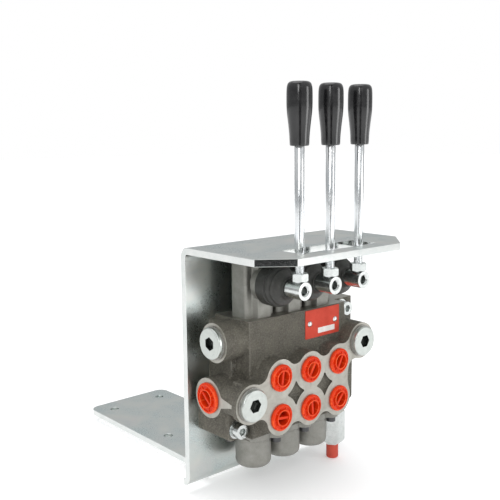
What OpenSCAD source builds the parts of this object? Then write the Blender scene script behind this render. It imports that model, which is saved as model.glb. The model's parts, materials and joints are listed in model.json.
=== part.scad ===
// Three-spool monoblock directional control valve with hand levers, on a bent steel bracket.
// Millimetres, +Z up. The origin is the centre of the four fixing holes in the bracket's
// bottom flange, on the flange's underside. The levers stand at the front, towards -Y.

/* [Bracket] */
// Width of the upright plate and of the top flange
plate_w = 180; // [178:1:200]
// Height of the top flange's upper face above the bracket's underside
plate_h = 214; // [213:1:216]
// Thickness of the bent sheet
sheet_t = 6; // [5:0.5:6]
// Reach of the top flange in front of the plate
top_reach = 108.5; // [106:0.5:112]
// Reach of the bottom flange behind the plate's front face
foot_reach = 223; // [215:1:235]
// Width of the bottom flange
foot_w = 98; // [90:1:104]
// Distance between the fixing holes across the bottom flange
foot_hole_dx = 60; // [56:1:66]
// Distance between the fixing holes along the bottom flange
foot_hole_dy = 103; // [95:1:110]
// Diameter of the fixing holes
foot_hole_d = 9; // [7:0.5:11]

/* [Valve block] */
// Distance from one spool to the next
pitch = 36; // [36:0.1:37]
// Height of the lower row of work ports
port_row_low = 68; // [67:0.5:69]
// Distance between the two rows of work ports
port_row_gap = 35; // [34:0.5:36]
// Radius of the machined boss round each work port
port_boss_r = 16; // [15:0.5:16.5]
// Height of the block's top face
block_top = 152; // [151:0.5:153]
// Height of the block's bottom face
block_bottom = 49; // [48:0.5:49.5]
// Diameter of each spool
spool_d = 16; // [14:0.5:16]

/* [Levers] */
// Height of the lever hubs' axis
hub_z = 181.8; // [181:0.2:183]
// Diameter of each lever hub
hub_d = 15; // [14:0.5:15]
// Diameter of each lever rod
rod_d = 8; // [7:0.5:8]
// Height of the top of the knobs
knob_top = 348; // [330:1:370]
// Length of each knob
knob_len = 50; // [40:1:60]
// Largest diameter of each knob
knob_d = 20.5; // [18:0.5:24]

/* [Hidden] */
$fn = 64;

// The valve is drawn with X = 0 on the middle spool and Y = 0 on the plate's front face.
foot_x = -13.5;
foot_y = 150;
spool_xs = [-pitch, 0, pitch];
port_row_high = port_row_low + port_row_gap;
port_mid_z = (port_row_low + port_row_high) / 2;
spool_y = -23.5;
spool_r = spool_d / 2;
bore_r = spool_r + 0.03;

// Bracket: bends, chamfer and slot
bend_r = 3;
bend_out = bend_r + sheet_t;
left_chamfer_x = 26;
left_chamfer_y = 21;
right_chamfer_x = 30;
right_chamfer_y = 28.5;
foot_corner_r = 10;
slot_half_x = 45;
slot_front = -94.3;
slot_back = -67.6;

// Valve block
port_face = -60;
block_front = -45;
lug_front = -30;
plug_left = [-69.4, 87.3];
plug_right = [66.8, 116.5];
plug_boss_r = 17;
plug_neck_r = 14.3;
plug_rim_back = -54;
side_plug = [-26, 135];
side_plug_face = -81;
inlet = [-21, 86.6];
inlet_face = -84;
outlet = [-21, 100];
outlet_face = 79;
bolt_low = [-62, 55.5];
bolt_high = [71, 142.7];
lug_hole_r = 4.5;
relief_xy = [64.5, -27];
work_bore_r = 7.75;
main_bore_r = 9.3;
plug_bore_r = 8.5;

// Spool lands and the chambers round them
spool_end = 43.4;
land_top = 158;
stem_r = 6;
tongue_r = 5.5;
groove_r = 5.5;
chamber_r = 11;
upper_tank = [114, 138];
lower_tank = [53, 60];
seal_zs = [51.2, 145];
seal_r = 0.9;

// Levers
pivot_y = -47.5;
hub_front = -88.6;
hub_back = -41.5;
rod_y = -81.8;
rod_foot = 184.2;
pin_r = 2.5;
ball_r = 4;
finger_r = 2.4;
housing_top = 200;
housing_back = -14.5;
housing_mid = -34;
housing_front = -40;
collar_front = -54;
collar_back = -37;
collar_r = 14.5;
cavity_r = 10;
cavity_back = -38.6;
finger_hole_r = 6.9;
housing_screw_dx = 13.2;
housing_screw_ys = [-18.2, -30.6];

// Spring caps
cap_bottom = 15.5;
cap_r = 16;
cap_flange_t = 8;
cap_screw_dx = 14.7;
cap_screw_dy = 14.2;
low_seat = 25.6;
seat_t = 2;
seat_collar = 3.5;

// Stations a turn and sides of the coils' wire
coil_steps = 18;
coil_sides = 8;

module placed() translate([-foot_x, -foot_y, 0]) children();

// Extrudes a front-view (X, Z) outline from y0 back to y1
module front_slab(y0, y1)
    translate([0, y1, 0]) rotate([90, 0, 0]) linear_extrude(height = y1 - y0) children();

module bar_x(y, z, r, x0, x1) translate([x0, y, z]) rotate([0, 90, 0]) cylinder(r = r, h = x1 - x0);
module bar_y(x, z, r, y0, y1) translate([x, y1, z]) rotate([90, 0, 0]) cylinder(r = r, h = y1 - y0);
module bar_z(x, y, r, z0, z1) translate([x, y, z0]) cylinder(r = r, h = z1 - z0);

// Turns a piece drawn along +Z to face out of the front, the left or the right
module facing_front(x, y, z) translate([x, y, z]) rotate([90, 0, 0]) children();
module facing_left(x, y, z) translate([x, y, z]) rotate([0, -90, 0]) children();
module facing_right(x, y, z) translate([x, y, z]) rotate([0, 90, 0]) children();

module rounded_rect(x0, y0, x1, y1, r) {
    translate([x0 + r, y0]) square([x1 - x0 - 2 * r, y1 - y0]);
    translate([x0, y0 + r]) square([x1 - x0, y1 - y0 - 2 * r]);
    for (x = [x0 + r, x1 - r], y = [y0 + r, y1 - r])
        translate([x, y]) circle(r = r);
}

// Ring, and a hexagon given across its flats
module ring(r_out, r_in, h) difference() {
    cylinder(r = r_out, h = h);
    translate([0, 0, -1]) cylinder(r = r_in, h = h + 2);
}
module hexagon(across, h) cylinder(r = across / 2 / cos(30), h = h, $fn = 6);

// Centre of the fillet circle that touches two bosses on one side of the line between them
function unit(v) = v / norm(v);
function fillet_centre(c1, r1, c2, r2, rf, side) =
    let (
        span = norm(c2 - c1),
        a = r1 + rf,
        b = r2 + rf,
        along = (span * span + a * a - b * b) / (2 * span),
        off = sqrt(a * a - along * along),
        u = (c2 - c1) / span
    )
    c1 + u * along + side * off * [-u[1], u[0]];

// Web between two round bosses, waisted by one fillet circle on each side. The circles bite
// into the bosses by a hair, so that their arcs cross and don't only touch.
module web(c1, r1, c2, r2, rf) {
    bite = 0.04;
    left = fillet_centre(c1, r1, c2, r2, rf, 1);
    right = fillet_centre(c1, r1, c2, r2, rf, -1);
    difference() {
        polygon([
            c1,
            c1 + r1 * unit(left - c1),
            c2 + r2 * unit(left - c2),
            c2,
            c2 + r2 * unit(right - c2),
            c1 + r1 * unit(right - c1)
        ]);
        translate(left) circle(r = rf + bite);
        translate(right) circle(r = rf + bite);
    }
}

// Round wire wound into a coil along +Z, its ends closed
module coil(mean_r, wire_r, height, turns) {
    steps = turns * coil_steps;
    ring_points = [
        for (i = [0 : steps], k = [0 : coil_sides - 1])
            let (
                turn = 360 * i / coil_steps,
                z = wire_r + (height - 2 * wire_r) * i / steps,
                side = 360 * k / coil_sides,
                r = mean_r + wire_r * cos(side)
            )
            [r * cos(turn), r * sin(turn), z + wire_r * sin(side)]
    ];
    sides = [
        for (i = [0 : steps - 1], k = [0 : coil_sides - 1])
            let (a = i * coil_sides + k, b = i * coil_sides + (k + 1) % coil_sides)
            [a, b, b + coil_sides, a + coil_sides]
    ];
    first_cap = [for (k = [coil_sides - 1 : -1 : 0]) k];
    last_cap = [for (k = [0 : coil_sides - 1]) steps * coil_sides + k];
    polyhedron(points = ring_points, faces = concat([first_cap], sides, [last_cap]), convexity = 10);
}

// ---- Bracket ----

// Side view (Y, Z) of the bent sheet: top flange forward, foot backward
module bracket_profile() {
    difference() {
        translate([-top_reach, plate_h - sheet_t]) square([top_reach + sheet_t, sheet_t]);
        translate([-bend_r, plate_h - bend_out]) square([bend_out, bend_out]);
    }
    translate([0, bend_out]) square([sheet_t, plate_h - 2 * bend_out]);
    translate([bend_out, 0]) square([foot_reach - bend_out, sheet_t]);
    translate([-bend_r, plate_h - bend_out]) quarter_bend(0);
    translate([bend_out, bend_out]) quarter_bend(180);
}

module quarter_bend(turn) rotate(turn) intersection() {
    difference() {
        circle(r = bend_out);
        circle(r = bend_r);
    }
    square(bend_out);
}

module bracket() color([0.78, 0.80, 0.78]) placed() difference() {
    translate([-plate_w / 2, 0, 0]) rotate([90, 0, 90]) linear_extrude(height = plate_w)
        bracket_profile();
    // The foot is narrower than the plate, from just behind the bend
    translate([-plate_w, bend_out, -1]) cube([plate_w + foot_x - foot_w / 2, foot_reach, bend_out + 1]);
    translate([foot_x + foot_w / 2, bend_out, -1]) cube([plate_w, foot_reach, bend_out + 1]);
    // Rounded back corners of the foot
    for (side = [-1, 1])
        translate([foot_x + side * foot_w / 2, foot_reach, -1]) rotate(side > 0 ? 180 : 270)
            corner_cut(foot_corner_r, sheet_t + 2);
    // Chamfers at the top flange's two front corners
    translate([-plate_w / 2, -top_reach, plate_h - sheet_t - 1])
        corner_chamfer(left_chamfer_x, left_chamfer_y, sheet_t + 2);
    translate([plate_w / 2, -top_reach, plate_h - sheet_t - 1]) mirror([1, 0, 0])
        corner_chamfer(right_chamfer_x, right_chamfer_y, sheet_t + 2);
    // Lever slot
    translate([-slot_half_x, slot_front, plate_h - sheet_t - 1])
        cube([2 * slot_half_x, slot_back - slot_front, sheet_t + 2]);
    // Fixing holes in the foot, and bolt holes in the plate
    for (dx = [-0.5, 0.5], dy = [-0.5, 0.5])
        bar_z(foot_x + dx * foot_hole_dx, foot_y + dy * foot_hole_dy, foot_hole_d / 2, -1, sheet_t + 1);
    for (p = [bolt_low, bolt_high])
        bar_y(p[0], p[1], lug_hole_r, -1, sheet_t + 1);
}

// Square of stock that leaves a rounded corner, its corner at the origin, the part towards +X +Y
module corner_cut(r, h) linear_extrude(height = h) difference() {
    translate([-1, -1]) square(r + 1);
    translate([r, r]) circle(r = r);
}

// Stock outside a chamfer that reaches dx along X and dy along Y from the corner at the origin
module corner_chamfer(dx, dy, h) linear_extrude(height = h)
    polygon([[-1, -1], [dx, -1], [dx, 0], [0, dy], [-1, dy]]);

// ---- Valve block ----

// Outline of the machined port face, given the radius of the left front plug's boss
module port_outline(left_r) {
    low_left = [-pitch, port_row_low];
    high_left = [-pitch, port_row_high];
    high_right = [pitch, port_row_high];
    low_right = [pitch, port_row_low];
    row_fillet = 9.35;
    side_fillet = 32;
    for (x = spool_xs, z = [port_row_low, port_row_high])
        translate([x, z]) circle(r = port_boss_r);
    for (x = [-pitch, 0], z = [port_row_low, port_row_high])
        web([x, z], port_boss_r, [x + pitch, z], port_boss_r, row_fillet);
    web(low_right, port_boss_r, high_right, port_boss_r, side_fillet);
    polygon([plug_left, low_left, low_right, high_right, high_left]);
    for (p = [low_left, high_left])
        web(plug_left, left_r, p, port_boss_r, row_fillet);
    web(high_right, port_boss_r, plug_right, plug_boss_r, row_fillet);
    translate(plug_left) circle(r = left_r);
    translate(plug_right) circle(r = plug_boss_r);
}

// Four-pointed pocket left between four port bosses
module star_pocket(x) {
    ridge_r = 18.75;
    difference() {
        translate([x - pitch / 2, port_row_low]) square([pitch, port_row_gap]);
        for (cx = [x - pitch / 2, x + pitch / 2], cz = [port_row_low, port_row_high])
            translate([cx, cz]) circle(r = ridge_r);
    }
}

module block_outline() {
    shoulder = 60;
    polygon([
        [-58, block_top], [shoulder, block_top], [shoulder + 3, 128], [72, 118], [72, 57.5],
        [63, block_bottom], [-58, block_bottom]
    ]);
}

// Pointed fin (Y, Z) from the inlet boss forward to the left front plug's boss
module inlet_fin() polygon([[-16, 95], [-36, 91.5], [-54, 86.4], [-36, 81.2], [-16, 78]]);

// Front view (X, Z) of the lower fixing lug. Under the block it stops short of the spring cap.
module low_lug_outline() {
    lug_bottom = 46;
    cap_gap_x = -57.8;
    polygon([
        [-79, 53], [-79, 76], [-75, 80], [-46, 80], [-46, block_bottom],
        [cap_gap_x, block_bottom], [cap_gap_x, lug_bottom], [-68, lug_bottom]
    ]);
}

// The lower lug narrows towards the front
module low_lug() intersection() {
    front_slab(lug_front, 0) low_lug_outline();
    translate([0, 0, 40]) linear_extrude(height = 45)
        polygon([[-79, 1], [-79, -6], [-70.5, lug_front - 1], [-45, lug_front - 1], [-45, 1]]);
}

module casting() {
    front_slab(block_front, 0) block_outline();
    front_slab(port_face, plug_rim_back) port_outline(plug_boss_r);
    front_slab(plug_rim_back, block_front) port_outline(plug_neck_r);
    bar_y(plug_left[0], plug_left[1], plug_neck_r, block_front, -26);
    bar_y(plug_right[0], plug_right[1], plug_boss_r, port_face, -38);
    low_lug();
    front_slab(lug_front, 0) rounded_rect(52, 126, 85, block_top, 3);
    front_slab(lug_front, 0) rounded_rect(-66, 84, -50, 149, 4);
    bar_x(side_plug[0], side_plug[1], plug_boss_r, side_plug_face, -50);
    bar_x(inlet[0], inlet[1], 17.3, inlet_face, -46);
    translate([inlet_face, 0, 0]) rotate([90, 0, 90]) linear_extrude(height = 34) inlet_fin();
    bar_x(outlet[0], outlet[1], 15.5, 60, outlet_face);
    bar_z(relief_xy[0], relief_xy[1], 12, block_bottom, 66);
}

// Spool bores, chambers, galleries and port bores
module passages() {
    for (x = spool_xs) {
        bar_z(x, spool_y, bore_r, block_bottom - 1, block_top + 1);
        bar_z(x, spool_y, chamber_r, lower_tank[0], lower_tank[1]);
        for (z = seal_zs)
            bar_z(x, spool_y, bore_r + 2 * seal_r + 0.05, z - seal_r - 0.05, z + seal_r + 0.05);
        bar_z(x, spool_y, chamber_r, port_mid_z - 6.5, port_mid_z + 6.5);
        bar_z(x, spool_y, chamber_r, upper_tank[0], upper_tank[1]);
        for (z = [port_row_low, port_row_high]) {
            bar_z(x, spool_y, chamber_r, z - 3.5, z + 3.5);
            bar_y(x, z, 3.4, -48, spool_y);
            bar_y(x, z, work_bore_r, port_face - 1, -46);
        }
    }
    bar_x(spool_y, port_mid_z, 5, -70, 66);
    bar_x(side_plug[0], side_plug[1], 5, side_plug_face, pitch);
    bar_x(side_plug[0], side_plug[1], plug_bore_r, side_plug_face - 1, -64);
    bar_x(-18, 56.5, 3.4, -pitch, 60);
    bar_x(inlet[0], inlet[1], main_bore_r, inlet_face - 1, -64);
    bar_x(outlet[0], outlet[1], main_bore_r, 62, outlet_face + 1);
    bar_x(-16, outlet[1], 4, 50, 63);
    bar_z(54, -13.2, 4, 55.8, outlet[1] + 0.6);
    bar_z(62, -23, 4, outlet[1], plug_right[1]);
    bar_x(-23, plug_right[1], 4, pitch, 66);
    bar_y(plug_right[0], plug_right[1], plug_bore_r, port_face - 1, -46);
    bar_y(plug_right[0], plug_right[1], 5, -47, -22);
    bar_y(plug_left[0], plug_left[1], plug_bore_r, port_face - 1, -46);
    bar_y(plug_left[0], plug_left[1], 7.03, -47, -31);
    bar_y(plug_left[0], plug_left[1], 4.5, -32, -24);
    bar_z(relief_xy[0], relief_xy[1], 8.05, block_bottom - 1, 63);
    bar_z(relief_xy[0], relief_xy[1], 4, 62, port_mid_z);
}

module screw_holes() {
    for (x = spool_xs, side = [-1, 1]) {
        bar_z(x + side * cap_screw_dx, spool_y - side * cap_screw_dy, 2.53, block_bottom - 1, 62);
        bar_z(x + side * housing_screw_dx, side > 0 ? housing_screw_ys[0] : housing_screw_ys[1],
            2.53, block_top - 13, block_top + 1);
    }
    for (p = [bolt_low, bolt_high])
        bar_y(p[0], p[1], lug_hole_r, block_front - 1, 1);
    for (p = rivet_places)
        bar_y(p[0], p[1], 1.03, block_front - 1, block_front + 5);
}

module valve_body() color([0.44, 0.42, 0.38]) placed() difference() {
    casting();
    // Two cast pockets between the port bosses
    for (x = [-pitch / 2, pitch / 2])
        front_slab(port_face - 1, port_face + 3) star_pocket(x);
    // Clearance in front of the two fixing lugs for the bolt heads
    bar_y(bolt_high[0], bolt_high[1], 9, block_front - 1, lug_front);
    bar_y(bolt_low[0], bolt_low[1], 8.5, block_front - 1, lug_front);
    passages();
    screw_holes();
}

// ---- Spools ----

// Radius of the spool from one height to the next, bottom to top
spool_steps = [
    [spool_end, 54, spool_r],
    [54, 61, groove_r],
    [61, 77, spool_r],
    [77, 94, groove_r],
    [94, 110, spool_r],
    [110, 120, groove_r],
    [120, land_top, spool_r],
    [land_top, 172, stem_r],
    [172, 189.5, tongue_r]
];

module spool(x) color([0.75, 0.76, 0.78]) placed() difference() {
    for (s = spool_steps)
        bar_z(x, spool_y, s[2], s[0], s[1]);
    // Slot for the lever's ball, open to the front
    translate([x - ball_r - 0.1, spool_y - tongue_r - 1, hub_z - ball_r - 0.2])
        cube([2 * ball_r + 0.2, tongue_r + 5.3, 2 * ball_r + 0.4]);
    // Threaded hole for the end screw
    bar_z(x, spool_y, 3.03, spool_end - 1, spool_end + 12);
}

module spool_seals() color([0.10, 0.10, 0.10]) placed()
    for (x = spool_xs, z = seal_zs)
        translate([x, spool_y, z]) difference() {
            rotate_extrude() translate([bore_r + seal_r, 0]) circle(r = seal_r, $fn = 24);
            translate([0, 0, -2]) cylinder(r = bore_r, h = 4);
        }

// ---- Lever housings, boots and levers ----

module housing_outline() {
    nose_root = 9.5;
    nose_tip = 7.3;
    rounded_rect(-16.5, housing_mid, 16.5, housing_back, 2.5);
    polygon([
        [-nose_root, housing_mid + 1], [-nose_root, housing_mid], [-nose_tip, housing_front],
        [nose_tip, housing_front], [nose_root, housing_mid], [nose_root, housing_mid + 1]
    ]);
}

module lever_housing(x) color([0.66, 0.65, 0.62]) placed() translate([x, 0, 0]) difference() {
    union() {
        translate([0, 0, block_top]) linear_extrude(height = housing_top - block_top) housing_outline();
        bar_y(0, hub_z, collar_r, collar_front, collar_back);
    }
    bar_y(0, hub_z, cavity_r, collar_front - 1, cavity_back);
    bar_y(0, hub_z, finger_hole_r, cavity_back - 1, -18);
    bar_z(0, spool_y, 6.6, block_top - 1, housing_top - 3);
    bar_z(0, spool_y, 8.6, block_top - 1, 166);
    bar_x(pivot_y, hub_z, pin_r + 0.02, -collar_r - 1, collar_r + 1);
    for (side = [-1, 1]) {
        bar_z(side * housing_screw_dx, side > 0 ? housing_screw_ys[0] : housing_screw_ys[1],
            2.6, block_top - 1, housing_top + 1);
    }
}

// Radius against distance in front of the housing, outside then inside
boot_outer = [
    [16.6, 6.3], [17.4, 7.5], [17.5, 16], [16.2, 17.2], [17.4, 18.6], [17.3, 20], [15.2, 22.3],
    [15.6, 23.4], [13.4, 25.8], [9.4, 28.5], [8.9, 31]
];
boot_inner = [
    [7.6, 31], [7.6, 27.5], [12.2, 25], [14.2, 23], [13.9, 22], [15.8, 19.6], [15.8, 18.6],
    [14.8, 17.2], [14.6, 15.8], [14.6, 6.3]
];

module boot(x) color([0.16, 0.16, 0.15]) placed()
    facing_front(x, housing_front, hub_z) rotate_extrude() polygon(concat(boot_outer, boot_inner));

module lever_hub(x) color([0.70, 0.71, 0.71]) placed() difference() {
    union() {
        bar_y(x, hub_z, hub_d / 2, hub_front, pivot_y - 5);
        bar_y(x, hub_z, 7, pivot_y - 6, hub_back);
        bar_y(x, hub_z, finger_r, hub_back - 1, spool_y);
        translate([x, spool_y, hub_z]) sphere(r = ball_r);
    }
    // Tapped hole in the front end, with its countersink
    bar_y(x, hub_z, 3.4, hub_front - 1, hub_front + 12);
    translate([x, hub_front + 1.2, hub_z]) rotate([90, 0, 0]) cylinder(r1 = 3.4, r2 = 5, h = 1.6);
    bar_z(x, rod_y, rod_d / 2 + 0.03, rod_foot - 0.5, hub_z + hub_d);
    bar_x(pivot_y, hub_z, pin_r + 0.05, x - hub_d, x + hub_d);
}

module pivot_pins() color([0.70, 0.70, 0.72]) placed()
    for (x = spool_xs)
        bar_x(pivot_y, hub_z, pin_r, x - 13.9, x + 13.9);

module lever_rod(x) color([0.80, 0.82, 0.82]) placed() union() {
    bar_z(x, rod_y, rod_d / 2, rod_foot, knob_top - knob_len + 21);
    translate([x, rod_y, knob_top - knob_len + 21]) cylinder(r1 = rod_d / 2, r2 = rod_d / 2 - 1, h = 1);
}

module lock_nut(x) color([0.78, 0.79, 0.78]) placed() translate([x, rod_y, hub_z + hub_d / 2 + 0.02]) difference() {
    intersection() {
        hexagon(13, 6.8);
        union() {
            cylinder(r1 = 6.4, r2 = 7.6, h = 0.8);
            translate([0, 0, 0.8]) cylinder(r = 7.6, h = 5.2);
            translate([0, 0, 6]) cylinder(r1 = 7.6, r2 = 6.4, h = 0.8);
        }
    }
    translate([0, 0, -1]) cylinder(r = rod_d / 2 + 0.03, h = 9);
}

module knob(x) color([0.04, 0.04, 0.05]) placed() translate([x, rod_y, knob_top - knob_len]) difference() {
    rotate_extrude() {
        edge = 3;
        r = knob_d / 2;
        polygon([
            [0, 0], [7, 0], [7.5, 0.8], [r - 0.6, knob_len * 0.46], [r, knob_len * 0.56],
            [r, knob_len - edge], [r - edge, knob_len], [0, knob_len]
        ]);
        translate([r - edge, knob_len - edge]) circle(r = edge);
    }
    translate([0, 0, -1]) cylinder(r = rod_d / 2 + 0.03, h = 26);
}

module housing_screws() color([0.25, 0.25, 0.26]) placed()
    for (x = spool_xs, side = [-1, 1])
        translate([x + side * housing_screw_dx, side > 0 ? housing_screw_ys[0] : housing_screw_ys[1], 0])
            difference() {
                union() {
                    bar_z(0, 0, 2.5, block_top - 12, housing_top + 1);
                    bar_z(0, 0, 3.2, housing_top, housing_top + 4);
                }
                translate([0, 0, housing_top + 1.5]) hexagon(3, 4);
            }

// ---- Spring caps and centring springs ----

module cap_flange_outline() {
    rotate(-44) {
        translate([-20.4, -6.5]) square([40.8, 13]);
        for (side = [-20.4, 20.4])
            translate([side, 0]) circle(r = 6.5);
    }
    circle(r = 17);
}

module spring_cap(x) color([0.62, 0.61, 0.58]) placed() translate([x, spool_y, 0]) difference() {
    union() {
        translate([0, 0, block_bottom - cap_flange_t]) linear_extrude(height = cap_flange_t)
            cap_flange_outline();
        rotate_extrude() {
            edge = 4.5;
            translate([0, cap_bottom]) square([cap_r - edge, block_bottom - cap_bottom]);
            translate([0, cap_bottom + edge]) square([cap_r, block_bottom - cap_bottom - edge]);
            translate([cap_r - edge, cap_bottom + edge]) circle(r = edge);
        }
    }
    bar_z(0, 0, 11.5, cap_bottom + 2, block_bottom + 1);
    for (side = [-1, 1])
        bar_z(side * cap_screw_dx, -side * cap_screw_dy, 2.6, cap_bottom, block_bottom + 1);
}

module cap_screws() color([0.12, 0.12, 0.12]) placed()
    for (x = spool_xs, side = [-1, 1])
        translate([x + side * cap_screw_dx, spool_y - side * cap_screw_dy, block_bottom - cap_flange_t])
            difference() {
                union() {
                    bar_z(0, 0, 4.3, -5, 0);
                    bar_z(0, 0, 2.5, -1, 19);
                }
                translate([0, 0, -6]) hexagon(4, 3.5);
            }

module spring_seats(x) color([0.55, 0.55, 0.55]) placed() translate([x, spool_y, 0]) {
    translate([0, 0, spool_end - seat_t]) ring(10.5, 3.1, seat_t);
    translate([0, 0, spool_end - seat_t - seat_collar]) ring(6.4, 3.1, seat_collar);
    translate([0, 0, low_seat]) ring(10.5, 3.1, seat_t);
    translate([0, 0, low_seat + seat_t]) ring(6.4, 3.1, seat_collar);
}

module centring_spring(x) color([0.45, 0.47, 0.50]) placed()
    translate([x, spool_y, low_seat + seat_t + 0.05]) coil(8.3, 1.3, spool_end - low_seat - 2 * seat_t - 0.1, 4);

module end_screw(x) color([0.30, 0.30, 0.32]) placed() translate([x, spool_y, 0]) {
    bar_z(0, 0, 3, low_seat, spool_end + 11);
    translate([0, 0, low_seat - 2.4]) hexagon(8, 2.4);
}

// ---- Port caps and plugs ----

work_cap_r = 11.7;
main_cap_r = 13.25;

// Transport cap drawn along +Z: a disc, a hollow cup with a bar across it, and a skirt
module port_cap(disc_r, skirt_r, turn) rotate(turn) {
    cup_r = disc_r * 0.53;
    bar_half = 1.1;
    difference() {
        union() {
            cylinder(r = disc_r, h = 1.6);
            translate([0, 0, 1.6]) cylinder(r1 = disc_r, r2 = disc_r - 1.2, h = 0.9);
            translate([0, 0, 2.5]) cylinder(r = cup_r + 1.1, h = 1);
            translate([0, 0, -9]) cylinder(r = skirt_r, h = 9.5);
        }
        translate([0, 0, 1.7]) ring(disc_r - 2, cup_r + 1.1, 2);
        translate([0, 0, -7.5]) cylinder(r = cup_r, h = 12);
    }
    translate([-bar_half, -cup_r, -8]) cube([2 * bar_half, 2 * cup_r, 10.6]);
    for (a = [20 : 40 : 340])
        rotate(a) translate([cup_r + 0.9, -0.45, 1.4]) cube([disc_r - 2.4 - cup_r, 0.9, 0.9]);
}

module row_of_caps(z, turns) color([0.92, 0.33, 0.12]) placed()
    for (i = [0 : 2])
        facing_front(spool_xs[i], port_face, z) port_cap(work_cap_r, work_bore_r - 0.15, turns[i]);
module upper_port_caps() row_of_caps(port_row_high, [-8, -32, -28]);
module lower_port_caps() row_of_caps(port_row_low, [82, 4, -42]);
module inlet_port_cap() color([0.92, 0.33, 0.12]) placed()
    facing_left(inlet_face, inlet[0], inlet[1]) port_cap(main_cap_r, main_bore_r - 0.2, 137);
module outlet_port_cap() color([0.92, 0.33, 0.12]) placed()
    facing_right(outlet_face, outlet[0], outlet[1]) port_cap(main_cap_r, main_bore_r - 0.2, 60);

// Screw plug drawn along +Z: chamfered head with a hexagon socket, and a threaded shank
module plug() difference() {
    union() {
        translate([0, 0, 1.5]) cylinder(r = 13.75, h = 2.7);
        translate([0, 0, 4.2]) cylinder(r1 = 13.75, r2 = 12.95, h = 0.8);
        translate([0, 0, -12]) cylinder(r = plug_bore_r - 0.03, h = 14);
    }
    translate([0, 0, -1]) hexagon(10, 8);
}

module at_each_plug() {
    facing_front(plug_left[0], port_face, plug_left[1]) children();
    facing_front(plug_right[0], port_face, plug_right[1]) children();
    facing_left(side_plug_face, side_plug[0], side_plug[1]) children();
}

module blanking_plugs() color([0.80, 0.82, 0.81]) placed() at_each_plug() plug();
module plug_washers() color([0.50, 0.50, 0.48]) placed() at_each_plug() ring(14.6, plug_bore_r, 1.5);

// ---- Check valve behind the left front plug ----

module check_poppet() color([0.72, 0.72, 0.74]) placed() difference() {
    union() {
        bar_y(plug_left[0], plug_left[1], 7, -39, -32.6);
        translate([plug_left[0], -31.05, plug_left[1]]) rotate([90, 0, 0])
            cylinder(r1 = 5.4, r2 = 7, h = 1.6);
    }
    bar_y(plug_left[0], plug_left[1], 4.9, -40, -34.5);
}

module check_spring() color([0.45, 0.47, 0.50]) placed()
    translate([plug_left[0], -34.6, plug_left[1]]) rotate([90, 0, 0]) coil(3.9, 0.6, 13.3, 6);

// ---- Relief valve ----

module relief_body() color([0.78, 0.80, 0.78]) placed() translate([relief_xy[0], relief_xy[1], 0]) difference() {
    union() {
        intersection() {
            translate([0, 0, 10]) rotate(12) hexagon(21, 30.7);
            union() {
                translate([0, 0, 10]) cylinder(r1 = 10.4, r2 = 12.2, h = 1.6);
                translate([0, 0, 11.6]) cylinder(r = 12.2, h = 27.5);
                translate([0, 0, 39.1]) cylinder(r1 = 12.2, r2 = 10.4, h = 1.6);
            }
        }
        bar_z(0, 0, 9.6, 40, block_bottom);
        bar_z(0, 0, 8, block_bottom - 1, 62.9);
    }
    bar_z(0, 0, 6.03, 24, 58);
    bar_z(0, 0, 3.5, 57, 64);
    bar_z(0, 0, 3.03, 9, 25);
}

module relief_poppet() color([0.72, 0.72, 0.74]) placed() translate([relief_xy[0], relief_xy[1], 0]) {
    bar_z(0, 0, 6, 50, 56.4);
    translate([0, 0, 56.4]) cylinder(r1 = 5.2, r2 = 3.6, h = 1.5);
}

module relief_spring() color([0.45, 0.47, 0.50]) placed()
    translate([relief_xy[0], relief_xy[1], 28.1]) coil(4.4, 0.9, 21.8, 7);

module relief_adjuster() color([0.55, 0.55, 0.56]) placed() translate([relief_xy[0], relief_xy[1], 0]) difference() {
    union() {
        bar_z(0, 0, 3, -4, 26);
        bar_z(0, 0, 5.8, 26, 28);
    }
    translate([0, 0, -5]) hexagon(3, 4);
}

module relief_lock_nut() color([0.78, 0.80, 0.78]) placed() translate([relief_xy[0], relief_xy[1], 6.8]) difference() {
    union() {
        rotate(5) hexagon(13, 2.4);
        translate([0, 0, 2.4]) cylinder(r = 8.2, h = 0.8);
    }
    translate([0, 0, -1]) cylinder(r = 3.03, h = 6);
}

module relief_cap() color([0.78, 0.27, 0.22]) placed() translate([relief_xy[0], relief_xy[1], -7.6]) difference() {
    union() {
        cylinder(r1 = 5.1, r2 = 5.9, h = 0.9);
        translate([0, 0, 0.9]) cylinder(r = 5.9, h = 13.4);
    }
    translate([0, 0, 1.6]) cylinder(r = 3.1, h = 15);
}

// ---- Nameplate and fasteners ----

rivet_places = [[13.6, 138.4], [46.6, 137.6]];

module nameplate() color([0.82, 0.28, 0.24]) placed() difference() {
    front_slab(block_front - 0.6, block_front) rounded_rect(8, 125, 52, 151, 0.6);
    for (p = rivet_places)
        bar_y(p[0], p[1], 1.03, block_front - 2, block_front + 1);
}

module nameplate_rivets() color([0.85, 0.85, 0.84]) placed()
    for (p = rivet_places) {
        bar_y(p[0], p[1], 1, block_front - 0.7, block_front + 4);
        facing_front(p[0], block_front - 0.6, p[1]) intersection() {
            translate([0, 0, -1.8]) sphere(r = 3.3);
            cylinder(r = 2.9, h = 2);
        }
    }

module at_each_bolt()
    for (p = [bolt_low, bolt_high])
        translate([p[0], 0, p[1]]) children();

module mounting_bolts() color([0.82, 0.84, 0.84]) placed() at_each_bolt() difference() {
    union() {
        bar_y(0, 0, 6.5, lug_front - 9.6, lug_front - 1.6);
        bar_y(0, 0, 4, lug_front - 2, 17);
    }
    translate([0, lug_front - 5.6, 0]) rotate([90, 0, 0]) hexagon(6, 6);
}

module mounting_washers() color([0.80, 0.82, 0.82]) placed() at_each_bolt() {
    translate([0, lug_front, 0]) rotate([90, 0, 0]) ring(8, 4.2, 1.6);
    translate([0, sheet_t + 1.6, 0]) rotate([90, 0, 0]) ring(8, 4.2, 1.6);
}

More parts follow.
